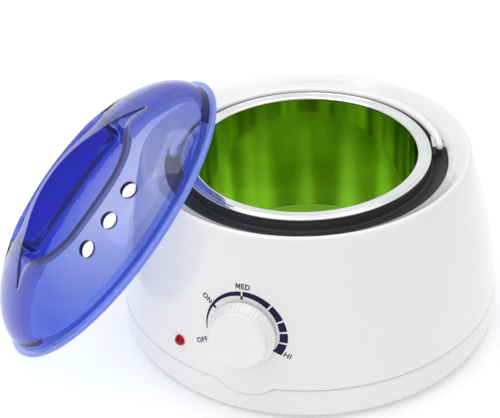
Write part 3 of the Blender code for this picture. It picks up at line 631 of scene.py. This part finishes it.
# Tint of the light that falls through the lid
LIT = (0.9, 0.92, 0.99)
BLUE = clear_plastic("clear_blue", (0.05, 0.11, 0.62), (0.03, 0.06, 0.72), 0.02, LIT, 0.97, 0.15,
                     pale=(0.38, 0.43, 0.76))
DEEP_BLUE = clear_plastic("grip_blue", (0.008, 0.018, 0.62), (0.006, 0.01, 0.42), 0.12, LIT, 0.8, 0.15)
# Painted shade: near-opaque dark navy for the dark lines that refraction draws in the clear wall at the
# grip's foot and ends, round the vents and in bands near the lid's ends
SHADE_LINE_BLUE = clear_plastic("painted_shade_blue", (0.006, 0.008, 0.1), (0.004, 0.005, 0.06), 0.2, LIT, 0.15, 0.1)
# Painted shade: a deeper blue on the scoops' outer banks for the darker band that refraction shows there
BANK_SHADE_BLUE = clear_plastic("bank_painted_shade_blue", (0.06, 0.08, 0.56), (0.02, 0.03, 0.6), 0.05, LIT, 0.9, 0.1)
FLANGE_BLUE = clear_plastic("flange_blue", (0.32, 0.42, 0.93), (0.26, 0.34, 0.88), 0.1, LIT, 0.65)
RIM_BLUE = clear_plastic("rim_blue", (0.07, 0.16, 0.78), (0.03, 0.05, 0.72), 0.05, LIT, 0.95, 0.0, 0.8)
RED = red_lens()
RUBBER = moulded("rubber", (0.025, 0.025, 0.026), (0.04, 0.04, 0.04), 0.75, grain=0.0001, scale=500.0)
SILICONE = woven("heater_silicone", (0.55, 0.12, 0.04), (0.4, 0.08, 0.03), 300.0)
CERAMIC = moulded("ceramic", (0.85, 0.83, 0.78), (0.78, 0.76, 0.7), 0.45)
GLASS = clear_plastic("lamp_glass", (0.95, 0.7, 0.55), (0.9, 0.6, 0.45), 0.03, (0.9, 0.8, 0.7))
SLEEVE = woven("wire_sleeve", (0.85, 0.84, 0.78), (0.6, 0.6, 0.55), 700.0)
INK = printed_ink()

SLOT_FINISH = {"white_plastic": WHITE, "black_plastic": BLACK, "aluminium": ALUMINIUM, "steel": STEEL,
               "brass": BRASS, "green_wax": WAX, "clear_blue": BLUE, "red_lens": RED, "rubber": RUBBER,
               "heater_silicone": SILICONE, "ceramic": CERAMIC, "lamp_glass": GLASS,
               "wire_sleeve": SLEEVE}


def finish_cad_nodes():
    """Every carried-over CAD node takes the finish of its slot."""
    for part in frame["record"]["subparts"]:
        for slot in nodes[part["node"]].material_slots:
            slot.material = SLOT_FINISH[part["material_slot"]]


# ---------------------------------------------------------------- housing and tray

def seam_dip(angle):
    """How far the seam dips below its level under the dial, in millimetres."""
    away = math.degrees(angle) - DIAL_AZIMUTH
    away = (away + 180.0) % 360.0 - 180.0
    across = math.radians(away) * BELLY_R
    if abs(across) >= DIP_R:
        return 0.0
    return max(0.0, SEAM_Z - DIP_CENTRE_Z + math.sqrt(DIP_R * DIP_R - across * across))


def dip_azimuths():
    """Even azimuths, with finer steps across the dip in the seam."""
    half = math.degrees(math.sqrt(DIP_R ** 2 - (DIP_CENTRE_Z - SEAM_Z) ** 2) / BELLY_R)
    found = [360.0 * i / SIDE_STEPS for i in range(SIDE_STEPS)]
    found = [a for a in found if abs((a - DIAL_AZIMUTH + 180.0) % 360.0 - 180.0) > half + 0.5]
    found += [(DIAL_AZIMUTH - half + 2 * half * i / DIP_STEPS) % 360.0 for i in range(DIP_STEPS + 1)]
    return [math.radians(a) for a in sorted(found)]


def make_housing():
    rim = rounded([(OPENING_R + 2.0, OPENING_Z - WALL, 0.3), (OPENING_R, OPENING_Z - WALL, 0.4),
                   (OPENING_R, OPENING_Z, 0.9), (DISH_R, DISH_Z, 6.0), (CREST_R, CREST_Z, 2.2),
                   (side_radius(86.5), 86.5, 3.5), (side_radius(82.0), 82.0, 0.0)], 0.5, 6, closed=False)
    side = [(side_radius(z), z) for z in np.linspace(81.0, SEAM_Z + 3.0, 30)]
    foot = [(side_radius(SEAM_Z + 0.7), SEAM_Z + 0.7), (side_radius(SEAM_Z) - 0.12, SEAM_Z + 0.3),
            (side_radius(SEAM_Z) - 0.5, SEAM_Z), (side_radius(SEAM_Z) - WALL, SEAM_Z)]
    inner = [(side_radius(z) - WALL, z) for z in np.linspace(SEAM_Z + 2.0, 82.0, 14)]
    inner += [(side_radius(84.0) - WALL - 1.5, 86.0), (CREST_R - 1.5, CREST_Z - WALL - 1.2)]
    profile = rim + side + foot + inner

    def lift(row, angle, r, z):
        if z > SEAM_Z + 12.0:
            return r, z
        share = min(1.0, (SEAM_Z + 12.0 - z) / 11.0)
        lower = z - seam_dip(angle) * share
        return r + side_radius(lower) - side_radius(z), lower

    points, faces = turn_profile(profile + [profile[0]], dip_azimuths(), AT_AXIS, lift)
    shell = make_object("housing_shell", points, faces, [WHITE], 30.0)
    settle(shell, "housing", "white_plastic", "upper_housing")


def make_tray():
    top = SEAM_Z - SEAM_GAP
    outer = [(side_radius(top) - 2.6, top), (side_radius(top) - 0.5, top),
             (side_radius(top) - 0.1, top - 0.3),
             (side_radius(top - 0.7) + 0.05, top - 0.7), (TRAY_EDGE_R, 13.0), (TRAY_EDGE_R, TRAY_EDGE_Z)]
    outer += arc(TRAY_EDGE_R - 4.0, TRAY_EDGE_Z - 0.6, 4.0, 6.7, 0.0, -84.0, 12)[1:]
    foot = rounded([(89.0, TRAY_FOOT_Z), (87.2, TRAY_FOOT_Z, 0.6), (86.2, FLOOR_Z, 0.6), (60.0, FLOOR_Z)],
                   0.5, 3, closed=False)
    inside = [(0.0, FLOOR_Z), (0.0, FLOOR_Z + WALL), (LIP_R - 4.0, FLOOR_Z + WALL),
              (LIP_R - 2.0, FLOOR_Z + WALL + 2.0), (LIP_R - 2.0, 12.0)]

    def lift(row, angle, r, z):
        if z < 8.0 or r < LIP_R - 1.0:
            return r, z
        lower = z - seam_dip(angle) * min(1.0, (z - 8.0) / (top - 8.8))
        return r, lower

    profile = outer + foot + inside
    points, faces = turn_profile(profile + [profile[0]], dip_azimuths(), AT_AXIS, lift)
    shell = make_object("tray_shell", points, tidy_fans(points, faces), [WHITE], 30.0)
    settle(shell, "housing", "white_plastic", "base_tray")


# ---------------------------------------------------------------- can, collar, wax and bail

def make_collar():
    profile = [(COLLAR_IN_R, COLLAR_TOP_Z, 0.3), (COLLAR_WALL_R - 0.3, COLLAR_TOP_Z, 0.5),
               (COLLAR_WALL_R + 0.2, COLLAR_BAND_Z + 0.4, 0.8),
               (COLLAR_WALL_R + 1.3, COLLAR_BAND_Z - 0.2, 0.6),
               (OPENING_R - 1.6, OPENING_Z - 1.5, 0.8), (OPENING_R - SEAM_GAP, OPENING_Z - 1.1, 0.3),
               (OPENING_R - SEAM_GAP, OPENING_Z - 3.0, 0.2), (COLLAR_FLANGE_R, OPENING_Z - 3.0, 0.3),
               (COLLAR_FLANGE_R, COLLAR_UNDER_Z, 0.3), (COLLAR_IN_R, COLLAR_UNDER_Z, 0.3)]
    piece = turned("collar_ring", rounded(profile, 0.3, 5), [BLACK], 224, AT_AXIS)
    settle(piece, "housing", "black_plastic", "rim_collar")


def make_can():
    inner_floor = CAN_FLOOR_Z + CAN_WALL
    centre_r = CAN_R - CAN_CORNER
    centre_z = inner_floor + CAN_CORNER
    inside = [(r, inner_floor) for r in (0.0, 20.0, 40.0)]
    inside += arc(centre_r, centre_z, CAN_CORNER, CAN_CORNER, -90.0, 0.0, 10)
    inside += [(CAN_R, z) for z in np.linspace(26.0, CAN_RIM_Z - 1.6, 14)]
    inside += arc(CAN_R + 1.4, CAN_RIM_Z - 1.4, 1.4, 1.4, 180.0, 90.0, 6)
    flange = rounded([(CAN_R + 2.0, CAN_RIM_Z), (BEAD_IN_R - 0.2, CAN_RIM_Z, 0.3),
                      (BEAD_IN_R + 0.15, CAN_RIM_Z - 0.45, 0.2), (BEAD_IN_R + 0.5, CAN_RIM_Z - 0.1, 0.2),
                      (BEAD_R, CAN_RIM_Z - 0.15, 0.8), (BEAD_R, COLLAR_TOP_Z + 0.4, 0.8),
                      (BEAD_IN_R, COLLAR_TOP_Z + 0.4, 0.6), (BEAD_IN_R, CAN_RIM_Z - 1.0, 0.2),
                      (CAN_R + CAN_WALL, CAN_RIM_Z - 1.0, 0.2), (CAN_R + CAN_WALL, 80.0)],
                     0.3, 5, closed=False)
    outside = [(CAN_R + CAN_WALL, z) for z in np.linspace(76.0, 26.0, 10)]
    outside += arc(centre_r, centre_z, CAN_CORNER + CAN_WALL, CAN_CORNER + CAN_WALL, 0.0, -90.0, 8)
    outside += [(20.0, CAN_FLOOR_Z), (0.0, CAN_FLOOR_Z)]
    piece = turned("wax_can", inside + flange + outside, [CAN, WAX_REFLECTION_PAINT], 256, AT_AXIS, closed=False)
    # The inside of the wall and the floor take the painted reflection of the wax
    for face in piece.data.polygons:
        spot = (face.center - AXIS) / MM
        shows_painted_reflection = Vector((spot.x, spot.y)).length < CAN_R + 0.15
        if shows_painted_reflection and spot.z > inner_floor - 0.3 and face.normal.xy.dot(spot.xy) <= 0.001:
            face.material_index = 1
    settle(piece, "pot", "aluminium", "inner_pot")


def make_wax():
    """The pool climbs the wall a little at its edge."""
    reach = CAN_R - 0.25
    inner_floor = CAN_FLOOR_Z + CAN_WALL
    top = [(0.0, WAX_Z - 0.3), (15.0, WAX_Z - 0.3), (30.0, WAX_Z - 0.28), (42.0, WAX_Z - 0.25)]
    top += [(reach - 3.2 * (1 - t), WAX_Z - 0.25 + 0.9 * t ** 3) for t in np.linspace(0.0, 1.0, 8)]
    side = arc(CAN_R - CAN_CORNER, inner_floor + CAN_CORNER, CAN_CORNER - 0.25, CAN_CORNER - 0.25,
               -6.0, -90.0, 8)
    side += [(20.0, inner_floor + 0.25), (0.0, inner_floor + 0.25)]
    piece = turned("wax_pool", top + side, [WAX], 160, AT_AXIS, closed=False)
    settle(piece, "pot", "green_wax", "wax_fill")


def bail_route():
    """Middle of the bail, from one end round the back to the other."""
    right = [Vector((BAIL_R, -BAIL_OVERHANG * (1 - i / BAIL_END_STEPS), 0.0)) for i in range(BAIL_END_STEPS)]
    left = [Vector((-BAIL_R, -BAIL_OVERHANG * (i + 1) / BAIL_END_STEPS, 0.0)) for i in range(BAIL_END_STEPS)]
    route = []
    for step in range(BAIL_STEPS + 1):
        turn = math.pi * step / BAIL_STEPS
        route.append(Vector((BAIL_R * math.cos(turn), BAIL_R * math.sin(turn), 0.0)))
    return right + route + left


def bail_ring(spot, along, near):
    """One section of the bail: round, broader inwards at the back, and rounded off near an end."""
    out = along.cross(Vector((0.0, 0.0, 1.0)))
    share = 1.0
    if near < BAIL_ROD_R:
        share = math.sqrt(max(0.0, 1 - (1 - near / BAIL_ROD_R) ** 2)) * 0.98 + 0.02
    broad = max(0.0, spot.y / BAIL_R)
    half = BAIL_ROD_R + (BAIL_HALF_WIDTH - BAIL_ROD_R) * broad
    ring = []
    for side in range(BAIL_SIDES):
        turn = 2 * math.pi * side / BAIL_SIDES
        wide = half * math.cos(turn) - BAIL_INSET * broad
        tall = BAIL_ROD_R * math.sin(turn)
        place = spot + out * (wide * share) + Vector((0.0, 0.0, tall * share))
        ring.append(AXIS + (place + Vector((0.0, BAIL_Y, BAIL_Z))) * MM)
    return ring


def make_bail():
    """Half hoop with rounded ends, laid back round the rim."""
    route = bail_route()
    lengths = [0.0]
    for a, b in zip(route, route[1:]):
        lengths.append(lengths[-1] + (b - a).length)
    points = []
    for index, spot in enumerate(route):
        before = route[max(0, index - 1)]
        after = route[min(len(route) - 1, index + 1)]
        near = min(lengths[index], lengths[-1] - lengths[index])
        points += bail_ring(spot, (after - before).normalized(), near)
    rings = [list(range(start, start + BAIL_SIDES)) for start in range(0, len(points), BAIL_SIDES)]
    faces = []
    for one, two in zip(rings, rings[1:]):
        bridge(faces, one, two)
    faces += [tuple(rings[0]), tuple(rings[-1])]
    piece = make_object("bail_hoop", points, faces, [WHITE])
    settle(piece, "bail", "white_plastic", "bail_handle")


# ---------------------------------------------------------------- dial, lamp and printing

def make_knob():
    """Knob with a fine fluted side and a softly rounded face."""
    top = KNOB_HEIGHT
    face = [(0.0, top - 0.25), (5.0, top - 0.22), (9.0, top - 0.12), (KNOB_FACE_R - 2.2, top)]
    face += arc(KNOB_FACE_R - 1.6, top - 1.6, 1.6, 1.6, 90.0, 12.0, 8)
    wall = [(KNOB_FACE_R + (KNOB_SKIRT_R - KNOB_FACE_R) * t ** 1.4,
             top - 1.9 - (top - 1.9 - KNOB_CLEARANCE - 1.4) * t) for t in np.linspace(0.0, 1.0, 9)]
    skirt = rounded([(KNOB_SKIRT_R - 0.4, KNOB_CLEARANCE + 1.1), (KNOB_SKIRT_R, KNOB_CLEARANCE + 0.9, 0.3),
                     (KNOB_SKIRT_R, KNOB_CLEARANCE, 0.3), (12.6, KNOB_CLEARANCE, 0.2),
                     (12.2, top - 3.0, 0.4), (4.6, top - 3.0, 0.3), (4.4, KNOB_CLEARANCE, 0.2),
                     (3.3, KNOB_CLEARANCE, 0.2), (3.3, top - 2.2, 0.1), (0.0, top - 2.2)],
                    0.3, 3, closed=False)
    start = len(face) - 1
    last = start + len(wall)

    def flute(row, angle, r, z):
        if row < start - 1 or row >= last or r < KNOB_FACE_R - 0.6:
            return r, z
        depth = FLUTE_DEPTH * min(1.0, (row - start + 2) / 3.0)
        return r - depth * (0.5 - 0.5 * math.cos(KNOB_FLUTES * angle)), z

    place = side_place(DIAL_AZIMUTH, DIAL_Z)
    points, faces = turn_profile(face + wall + skirt, azimuths(KNOB_FLUTES * FLUTE_STEPS), place, flute)
    piece = make_object("knob", points, tidy_fans(points, faces), [WHITE], 40.0)
    settle(piece, "knob", "white_plastic", "dial_knob")


def make_lens():
    profile = [(0.0, LENS_DOME)] + arc(0.0, 0.0, LENS_R, LENS_DOME, 84.0, 0.0, 12)
    profile += [(LENS_R, LENS_FLANGE_Z), (LENS_FLANGE_R, LENS_FLANGE_Z), (LENS_FLANGE_R, LENS_BACK_Z),
                (0.0, LENS_BACK_Z)]
    piece = turned("lamp_lens", profile, [RED], 64, side_place(LAMP_AZIMUTH, LAMP_Z), closed=False)
    settle(piece, "housing", "red_lens", "indicator_lens")


def scale_width(angle):
    share = (SCALE_START - angle) / (SCALE_START - SCALE_STOP)
    return SCALE_THIN + (SCALE_WIDE - SCALE_THIN) * share ** SCALE_GROWTH


def scale_tuck(angle):
    """How far the arc's last bar turns in from the circle."""
    return SCALE_TUCK * min(1.0, max(0.0, (TUCK_FROM - angle) / (TUCK_FROM - SCALE_STOP)))


def sheet(name, grid):
    """A thin printed patch from rows of (across, rise) points on the housing's side."""
    rows, columns = len(grid), len(grid[0])
    points = []
    for lift in (PRINT_LIFT, PRINT_LIFT + PRINT_THICK):
        for row in grid:
            points += [on_side(across + SCALE_SHIFT, rise, lift) for across, rise in row]
    faces = []
    size = rows * columns
    for i in range(rows - 1):
        for j in range(columns - 1):
            a = i * columns + j
            faces.append((a, a + 1, a + columns + 1, a + columns))
            faces.append((a + size, a + columns + size, a + columns + 1 + size, a + 1 + size))
    edge = grid_edge(rows, columns)
    bridge(faces, edge, [size + k for k in edge])
    return make_object(name, points, faces, [INK])


def make_bar(number, high, low):
    """One bar of the arc, between two angles."""
    steps = max(4, int((high - low) / 2.0))
    grid = []
    for step in range(steps + 1):
        angle = high + (low - high) * step / steps
        turn = math.radians(angle)
        near = SCALE_R - scale_tuck(angle)
        far = near + scale_width(angle)
        grid.append([(r * math.cos(turn), r * math.sin(turn)) for r in (near, far)])
    settle(sheet(f"scale_bar_{number}", grid), "housing", "black_plastic")


def make_tick(name, angle):
    turn = math.radians(angle)
    side = Vector((-math.sin(turn), math.cos(turn)))
    out = Vector((math.cos(turn), math.sin(turn)))
    start = SCALE_R - scale_tuck(angle)
    grid = []
    for reach in np.linspace(start - TICK_LONG, start + 0.05, 4):
        grid.append([tuple(out * reach + side * half) for half in (-TICK_HALF, TICK_HALF)])
    settle(sheet(f"scale_tick_{name}", grid), "housing", "black_plastic")


def make_scale():
    """The tapering arc round the dial, in bars with gaps, and its ticks."""
    borders = [SCALE_START]
    for gap in SCALE_GAPS:
        borders += [gap + SCALE_GAP_HALF, gap - SCALE_GAP_HALF]
    borders.append(SCALE_STOP)
    for number in range(0, len(borders), 2):
        make_bar(number // 2 + 1, borders[number], borders[number + 1])
    for name, angle in SCALE_TICKS:
        make_tick(name, angle)


def letters_mesh(text, size):
    """Flat letters in their own plane, centred, with a little thickness."""
    curve = bpy.data.curves.new("letters", "FONT")
    curve.body = text
    curve.size = size
    curve.align_x = "CENTER"
    curve.align_y = "CENTER"
    curve.space_character = 1.1
    curve.extrude = PRINT_THICK / 2
    curve.offset = LETTER_BOLD
    curve.resolution_u = 4
    flat = add_object("letters", curve)
    graph = bpy.context.evaluated_depsgraph_get()
    mesh = bpy.data.meshes.new_from_object(flat.evaluated_get(graph))
    bpy.data.objects.remove(flat)
    return mesh


def letter_m_mesh(size):
    """A capital M of straight strokes, to match the other letters."""
    high = size * CAP_HEIGHT
    wide = high * 0.92
    count = len(LETTER_M)
    points = []
    for lift in (-PRINT_THICK / 2, PRINT_THICK / 2):
        points += [((x - 0.5) * wide, (y - 0.5) * high, lift) for x, y in LETTER_M]
    faces = [tuple(range(count - 1, -1, -1)), tuple(range(count, 2 * count))]
    bridge(faces, list(range(count)), list(range(count, 2 * count)))
    mesh = bpy.data.meshes.new("letter_m")
    mesh.from_pydata(points, [], faces)
    return mesh


def make_word(name, mesh, across, rise, tilt):
    """Letters laid on the housing's side, about a place across and up from the dial's centre."""
    turn = math.radians(tilt)
    for vertex in mesh.vertices:
        x, y, z = vertex.co
        u = across + x * math.cos(turn) - y * math.sin(turn)
        v = rise + x * math.sin(turn) + y * math.cos(turn)
        vertex.co = on_side(u, v, PRINT_LIFT + PRINT_THICK / 2 + z)
    mesh.materials.clear()
    mesh.materials.append(INK)
    settle(add_object(name, mesh), "housing", "black_plastic")


# ---------------------------------------------------------------- lid

def flowing(value, table, column):
    """Smooth curve through one column of a table, by Hermite steps between its rows."""
    data = np.array(table)
    xs, ys = data[:, 0], data[:, column]
    slopes = np.gradient(ys, xs)
    spot = np.clip(np.searchsorted(xs, value, side="right") - 1, 0, len(xs) - 2)
    gap = xs[spot + 1] - xs[spot]
    t = np.clip((value - xs[spot]) / gap, 0.0, 1.0)
    start = (1 + 2 * t) * (1 - t) ** 2 * ys[spot] + t * (1 - t) ** 2 * gap * slopes[spot]
    stop = t * t * (3 - 2 * t) * ys[spot + 1] + t * t * (t - 1) * gap * slopes[spot + 1]
    return start + stop


def dome(x, y):
    inside = np.clip(1.0 - (x * x + y * y) / DOME_R ** 2, 0.0, 1.0)
    return LID_WALL + (LID_HEIGHT - LID_WALL) * np.sqrt(inside)


def smooth_max(a, b, blend):
    mix = np.clip(0.5 + 0.5 * (a - b) / blend, 0.0, 1.0)
    return b + (a - b) * mix + blend * mix * (1.0 - mix)


def scoop_edges(y):
    """Inner and outer edge of the scoop at a distance along the grip."""
    away = np.abs(y)
    inner = flowing(np.minimum(away, SCOOP_TIP), SCOOP_PLAN, 1)
    outer = flowing(np.minimum(away, SCOOP_TIP), SCOOP_PLAN, 2)
    half = np.sqrt(np.maximum(DOME_R ** 2 - y * y, 0.0))
    share = np.where(away > SCOOP_TIP, half / math.sqrt(DOME_R ** 2 - SCOOP_TIP ** 2), 1.0)
    return inner * share, outer * share


def crest_height(x, y):
    """The grip's top: an arch along the grip that runs out into the dome."""
    away = np.minimum(np.abs(y), 70.0)
    arch = GRIP_TOP_Z - GRIP_ARCH_R + np.sqrt(GRIP_ARCH_R ** 2 - away ** 2)
    return smooth_max(arch, dome(x, y), 0.8)


def floor_height(x, y):
    skin = dome(x, y)
    deep = np.maximum(flowing(np.minimum(np.abs(y), 53.0), SCOOP_DEPTHS, 1), 0.0)
    return smooth_max(np.full_like(skin, SCOOP_FLOOR_Z), skin - deep, 1.6)


def lid_height(x, y):
    """Height of the lid's outer skin."""
    inner, outer = scoop_edges(y)
    skin = dome(x, y)
    crest = crest_height(x, y)
    side = np.abs(x)
    near_grip = crest - GRIP_WALL_SLOPE * (side - inner)
    near_rim = skin - SCOOP_WALL_SLOPE * (outer - side)
    cut = smooth_max(smooth_max(near_grip, floor_height(x, y), 1.2), near_rim, 1.8)
    lengthways = np.abs(y) < SCOOP_TIP
    scooped = (side > inner) & (side < outer) & lengthways
    top = np.maximum(crest, skin)
    eased = -smooth_max(-cut, -top, 0.5)
    height = np.where(scooped, np.where(side - inner < 1.0, np.minimum(cut, top), eased), skin)
    return np.where((side <= inner) & lengthways, crest, height)


def skin_below(x, y):
    """Height of the lid's inner skin: one wall below the outer skin in every direction."""
    height = lid_height(x, y) - LID_WALL
    for share in (0.3, 0.55, 0.78, 0.93, 1.0):
        reach = LID_WALL * share
        drop = math.sqrt(max(0.0, LID_WALL ** 2 - reach ** 2))
        for step in range(SKIN_STEPS):
            turn = 2 * math.pi * step / SKIN_STEPS
            moved = lid_height(x + reach * math.cos(turn), y + reach * math.sin(turn))
            height = np.minimum(height, moved - drop)
    inner, _ = scoop_edges(y)
    solid = (np.abs(x) < inner + LID_WALL) & (np.abs(y) < SCOOP_TIP)
    height = np.where(solid, np.minimum(height, floor_height(x, y) - LID_WALL), height)
    return np.maximum(height, LID_WALL)


def lid_rows(radius):
    phi = np.radians(np.linspace(-LID_ROW_END, LID_ROW_END, LID_ROWS + 1))
    return radius * np.sin(phi), radius * np.cos(phi)


def between(start, stop, count):
    """Columns from start to stop, leaving out the first."""
    share = np.linspace(0.0, 1.0, count + 1)[1:]
    return start[:, None] + (stop - start)[:, None] * share[None, :]


def lid_grid():
    """Rows along the grip by columns kept on the edges and feet of the scoops' walls."""
    y, half = lid_rows(DOME_R)
    inner, outer = scoop_edges(y)
    outer = np.minimum(outer, half * 0.99)
    span = outer - inner
    rise = np.maximum(crest_height(inner, y) - floor_height(inner, y), 0.0)
    foot = inner + np.minimum(rise / GRIP_WALL_SLOPE, span * 0.3) + np.minimum(0.3, span * 0.05)
    line = foot + np.minimum(FOOT_LINE, span * 0.15)
    bank = np.maximum(dome(outer, y) - floor_height(outer, y), 0.0) / SCOOP_WALL_SLOPE
    bank = outer - np.minimum(bank + 0.3, span * 0.3)
    start = np.arcsin(np.clip(outer / half, 0.0, 1.0))
    share = np.linspace(0.0, 1.0, BRIM_COLUMNS + 1)[1:]
    brim = half[:, None] * np.sin(start[:, None] + (math.pi / 2 - start[:, None]) * share[None, :])
    right = np.concatenate([between(inner, foot, WALL_COLUMNS), between(foot, line, LINE_COLUMNS),
                            between(line, bank, FLOOR_COLUMNS), between(bank, outer, BANK_COLUMNS),
                            brim], axis=1)
    middle = inner[:, None] * np.linspace(-1.0, 1.0, GRIP_COLUMNS + 1)[None, :]
    x = np.concatenate([-right[:, ::-1], middle, right], axis=1)
    y = np.repeat(y[:, None], x.shape[1], axis=1)
    return seated(x, y, lid_height(x, y))


def skin_grid(columns):
    """The inner skin on a plain grid with as many rows and columns as the outer one."""
    y, half = lid_rows(DOME_R - LID_WALL)
    x = half[:, None] * np.sin(np.linspace(-math.pi / 2, math.pi / 2, columns))[None, :]
    y = np.repeat(y[:, None], columns, axis=1)
    return seated(x, y, skin_below(x, y))


def seated(x, y, z):
    """Bring the grid's border down to the flange."""
    z[:, 0] = z[:, -1] = z[0] = z[-1] = LID_WALL
    return np.stack([x, y, z], axis=-1)


def lid_finish(i, j, grid):
    """Finish of one facet: the grip's sides, the line round their foot, the scoop's bank, the rim. The line
    round the foot, the grip's ends and the bands near the lid's ends take the dark painted shade, and the
    bank its painted shade band.
    """
    x, y, height = grid[i:i + 2, j:j + 2].reshape(-1, 3).mean(axis=0)
    azimuth = math.degrees(math.atan2(y, x))
    for start, stop, low, high in RIM_BANDS:
        if start < azimuth < stop and low < height < high:
            return SHADE_LINE
    if height < LID_WALL + RIM_LINE:
        return RIM
    along = abs(grid[i:i + 2, j, 1].mean())
    from_grip = BRIM_FIRST + BRIM_COLUMNS - 1 - min(j, grid.shape[1] - 2 - j)
    if from_grip < 0 or along > GRIP_END + EDGE_WIDTH:
        return CLEAR
    if along > GRIP_TURN and grid[i:i + 2, j, 0].mean() < 0.0:
        return CLEAR
    if from_grip < WALL_COLUMNS:
        return GRIP if along < GRIP_TURN else SHADE_LINE
    if from_grip < WALL_COLUMNS + LINE_COLUMNS:
        return SHADE_LINE
    return BANK if BANK_FIRST <= from_grip < BRIM_FIRST else CLEAR


def make_lid():
    """Outer and inner skins of the dome, joined by the flange and the skirt."""
    outer = lid_grid()
    rows, columns = outer.shape[:2]
    inner = skin_grid(columns)
    size = rows * columns
    place = lid_place()
    points = [tuple(p) for p in np.concatenate([outer.reshape(-1, 3), inner.reshape(-1, 3)])]
    faces = []
    kinds = []
    for i in range(rows - 1):
        for j in range(columns - 1):
            a = i * columns + j
            quad = (a, a + 1, a + columns + 1, a + columns)
            faces.append(quad)
            kinds.append(lid_finish(i, j, outer))
            faces.append(tuple(size + k for k in reversed(quad)))
            kinds.append(CLEAR)
    edge = grid_edge(rows, columns)
    rim = rounded([(DOME_R, LID_WALL, 0.0), (LID_R, LID_WALL, 0.9), (LID_R, 0.0, 0.7),
                   (SKIRT_R, 0.0, 0.3), (SKIRT_R, -SKIRT_DEPTH, 0.6), (SKIRT_IN_R, -SKIRT_DEPTH, 0.6),
                   (SKIRT_IN_R, LID_WALL, 0.3), (DOME_R - LID_WALL, LID_WALL, 0.0)], 0.3, 5, closed=False)
    angles = [math.atan2(points[k][1], points[k][0]) for k in edge]
    last = edge
    for r, z in rim[1:-1]:
        ring = list(range(len(points), len(points) + len(edge)))
        points += [(r * math.cos(a), r * math.sin(a), z) for a in angles]
        bridge(faces, last, ring)
        last = ring
    kinds += [FLANGE] * (len(faces) - len(kinds))
    bridge(faces, last, [size + k for k in edge])
    kinds += [CLEAR] * (len(faces) - len(kinds))
    world = [place @ (Vector(p) * MM) for p in points]
    blues = [BLUE, DEEP_BLUE, SHADE_LINE_BLUE, BANK_SHADE_BLUE, FLANGE_BLUE, RIM_BLUE]
    lid = make_object("lid", world, faces, blues, 55.0)
    lid.data.polygons.foreach_set("material_index", kinds)
    cut_vents(lid, place)
    settle(lid, "lid", "clear_blue", "lid_shell")


def cut_vents(lid, place):
    """Three steam holes through the dome, square to its surface."""
    shape = bmesh.new()
    for number in (-1, 0, 1):
        turn = Matrix.Rotation(math.radians(number * VENT_STEP), 4, "Z")
        tip = Matrix.Rotation(math.radians(VENT_LEAN), 4, "Y")
        spot = Matrix.Translation(Vector((VENT_ROOT_R, 0.0, VENT_ROOT_Z)) * MM)
        rise = Matrix.Translation(Vector((0.0, 0.0, VENT_DEPTH / 2 * MM)))
        bmesh.ops.create_cone(shape, cap_ends=True, segments=48, radius1=VENT_R * MM, radius2=VENT_R * MM,
                              depth=VENT_DEPTH * MM, matrix=place @ turn @ spot @ tip @ rise)
    mesh = bpy.data.meshes.new("vent_cutter")
    shape.to_mesh(mesh)
    # The vents' walls take the dark painted shade
    mesh.materials.append(SHADE_LINE_BLUE)
    shape.free()
    cutter = add_object("vent_cutter", mesh)
    boolean = lid.modifiers.new("vents", "BOOLEAN")
    boolean.operation = "DIFFERENCE"
    boolean.solver = "EXACT"
    boolean.material_mode = "TRANSFER"
    boolean.object = cutter
    bpy.context.view_layer.update()
    graph = bpy.context.evaluated_depsgraph_get()
    result = bpy.data.meshes.new_from_object(lid.evaluated_get(graph))
    lid.modifiers.clear()
    old = lid.data
    lid.data = result
    bpy.data.meshes.remove(old)
    bpy.data.objects.remove(cutter)


# ---------------------------------------------------------------- stage

def make_stage():
    mesh = bpy.data.meshes.new("floor")
    half = FLOOR_HALF
    corners = [(-half, -half, 0), (half, -half, 0), (half, half, 0), (-half, half, 0)]
    mesh.from_pydata(corners, [], [(0, 1, 2, 3)])
    pale, _, _ = new_material("pale_floor", (0.94, 0.94, 0.94), 0.6, Emission_Strength=0.14,
                              Emission_Color=(1.0, 1.0, 1.0, 1.0))
    mesh.materials.append(pale)
    add_object("floor", mesh)


def area_light(name, place, target, size, power):
    lamp = bpy.data.lights.new(name, "AREA")
    lamp.shape = "RECTANGLE"
    lamp.size, lamp.size_y = size
    lamp.energy = power
    made = add_object(name, lamp)
    made.location = place
    made.rotation_mode = "QUATERNION"
    made.rotation_quaternion = (Vector(target) - Vector(place)).to_track_quat("-Z", "Y")


def make_lights():
    centre = AXIS + Vector((0.0, 0.0, LIGHT_TARGET_Z * MM))
    for name, offset, size, power in LIGHTS:
        area_light(name, centre + Vector(offset), centre, size, power)
    world = bpy.data.worlds.new("studio")
    world.use_nodes = True
    sky = world.node_tree.nodes["Background"]
    sky.inputs["Color"].default_value = (1.0, 1.0, 1.0, 1.0)
    sky.inputs["Strength"].default_value = SKY
    bpy.context.scene.world = world


def make_camera():
    camera = bpy.data.cameras.new("camera")
    camera.lens = CAMERA_LENS
    camera.clip_start, camera.clip_end = CAMERA_REACH
    made = add_object("camera", camera)
    axes = (Vector(CAMERA_RIGHT), Vector(CAMERA_UP), -Vector(CAMERA_FORWARD))
    turn = Matrix(axes).transposed().to_4x4()
    turn.translation = AXIS + Vector(CAMERA_PLACE) * MM
    made.matrix_world = turn
    bpy.context.scene.camera = made


finish_cad_nodes()
make_housing()
make_tray()
make_collar()
make_can()
make_wax()
make_bail()
make_knob()
make_lens()
make_scale()
for name, text, size, across, rise, tilt in WORDS:
    flat_mesh = letter_m_mesh(size) if text == "M" else letters_mesh(text, size)
    make_word(f"word_{name}", flat_mesh, across, rise, tilt)
make_lid()
make_stage()
make_lights()
make_camera()
bpy.context.scene.view_settings.view_transform = "Standard"
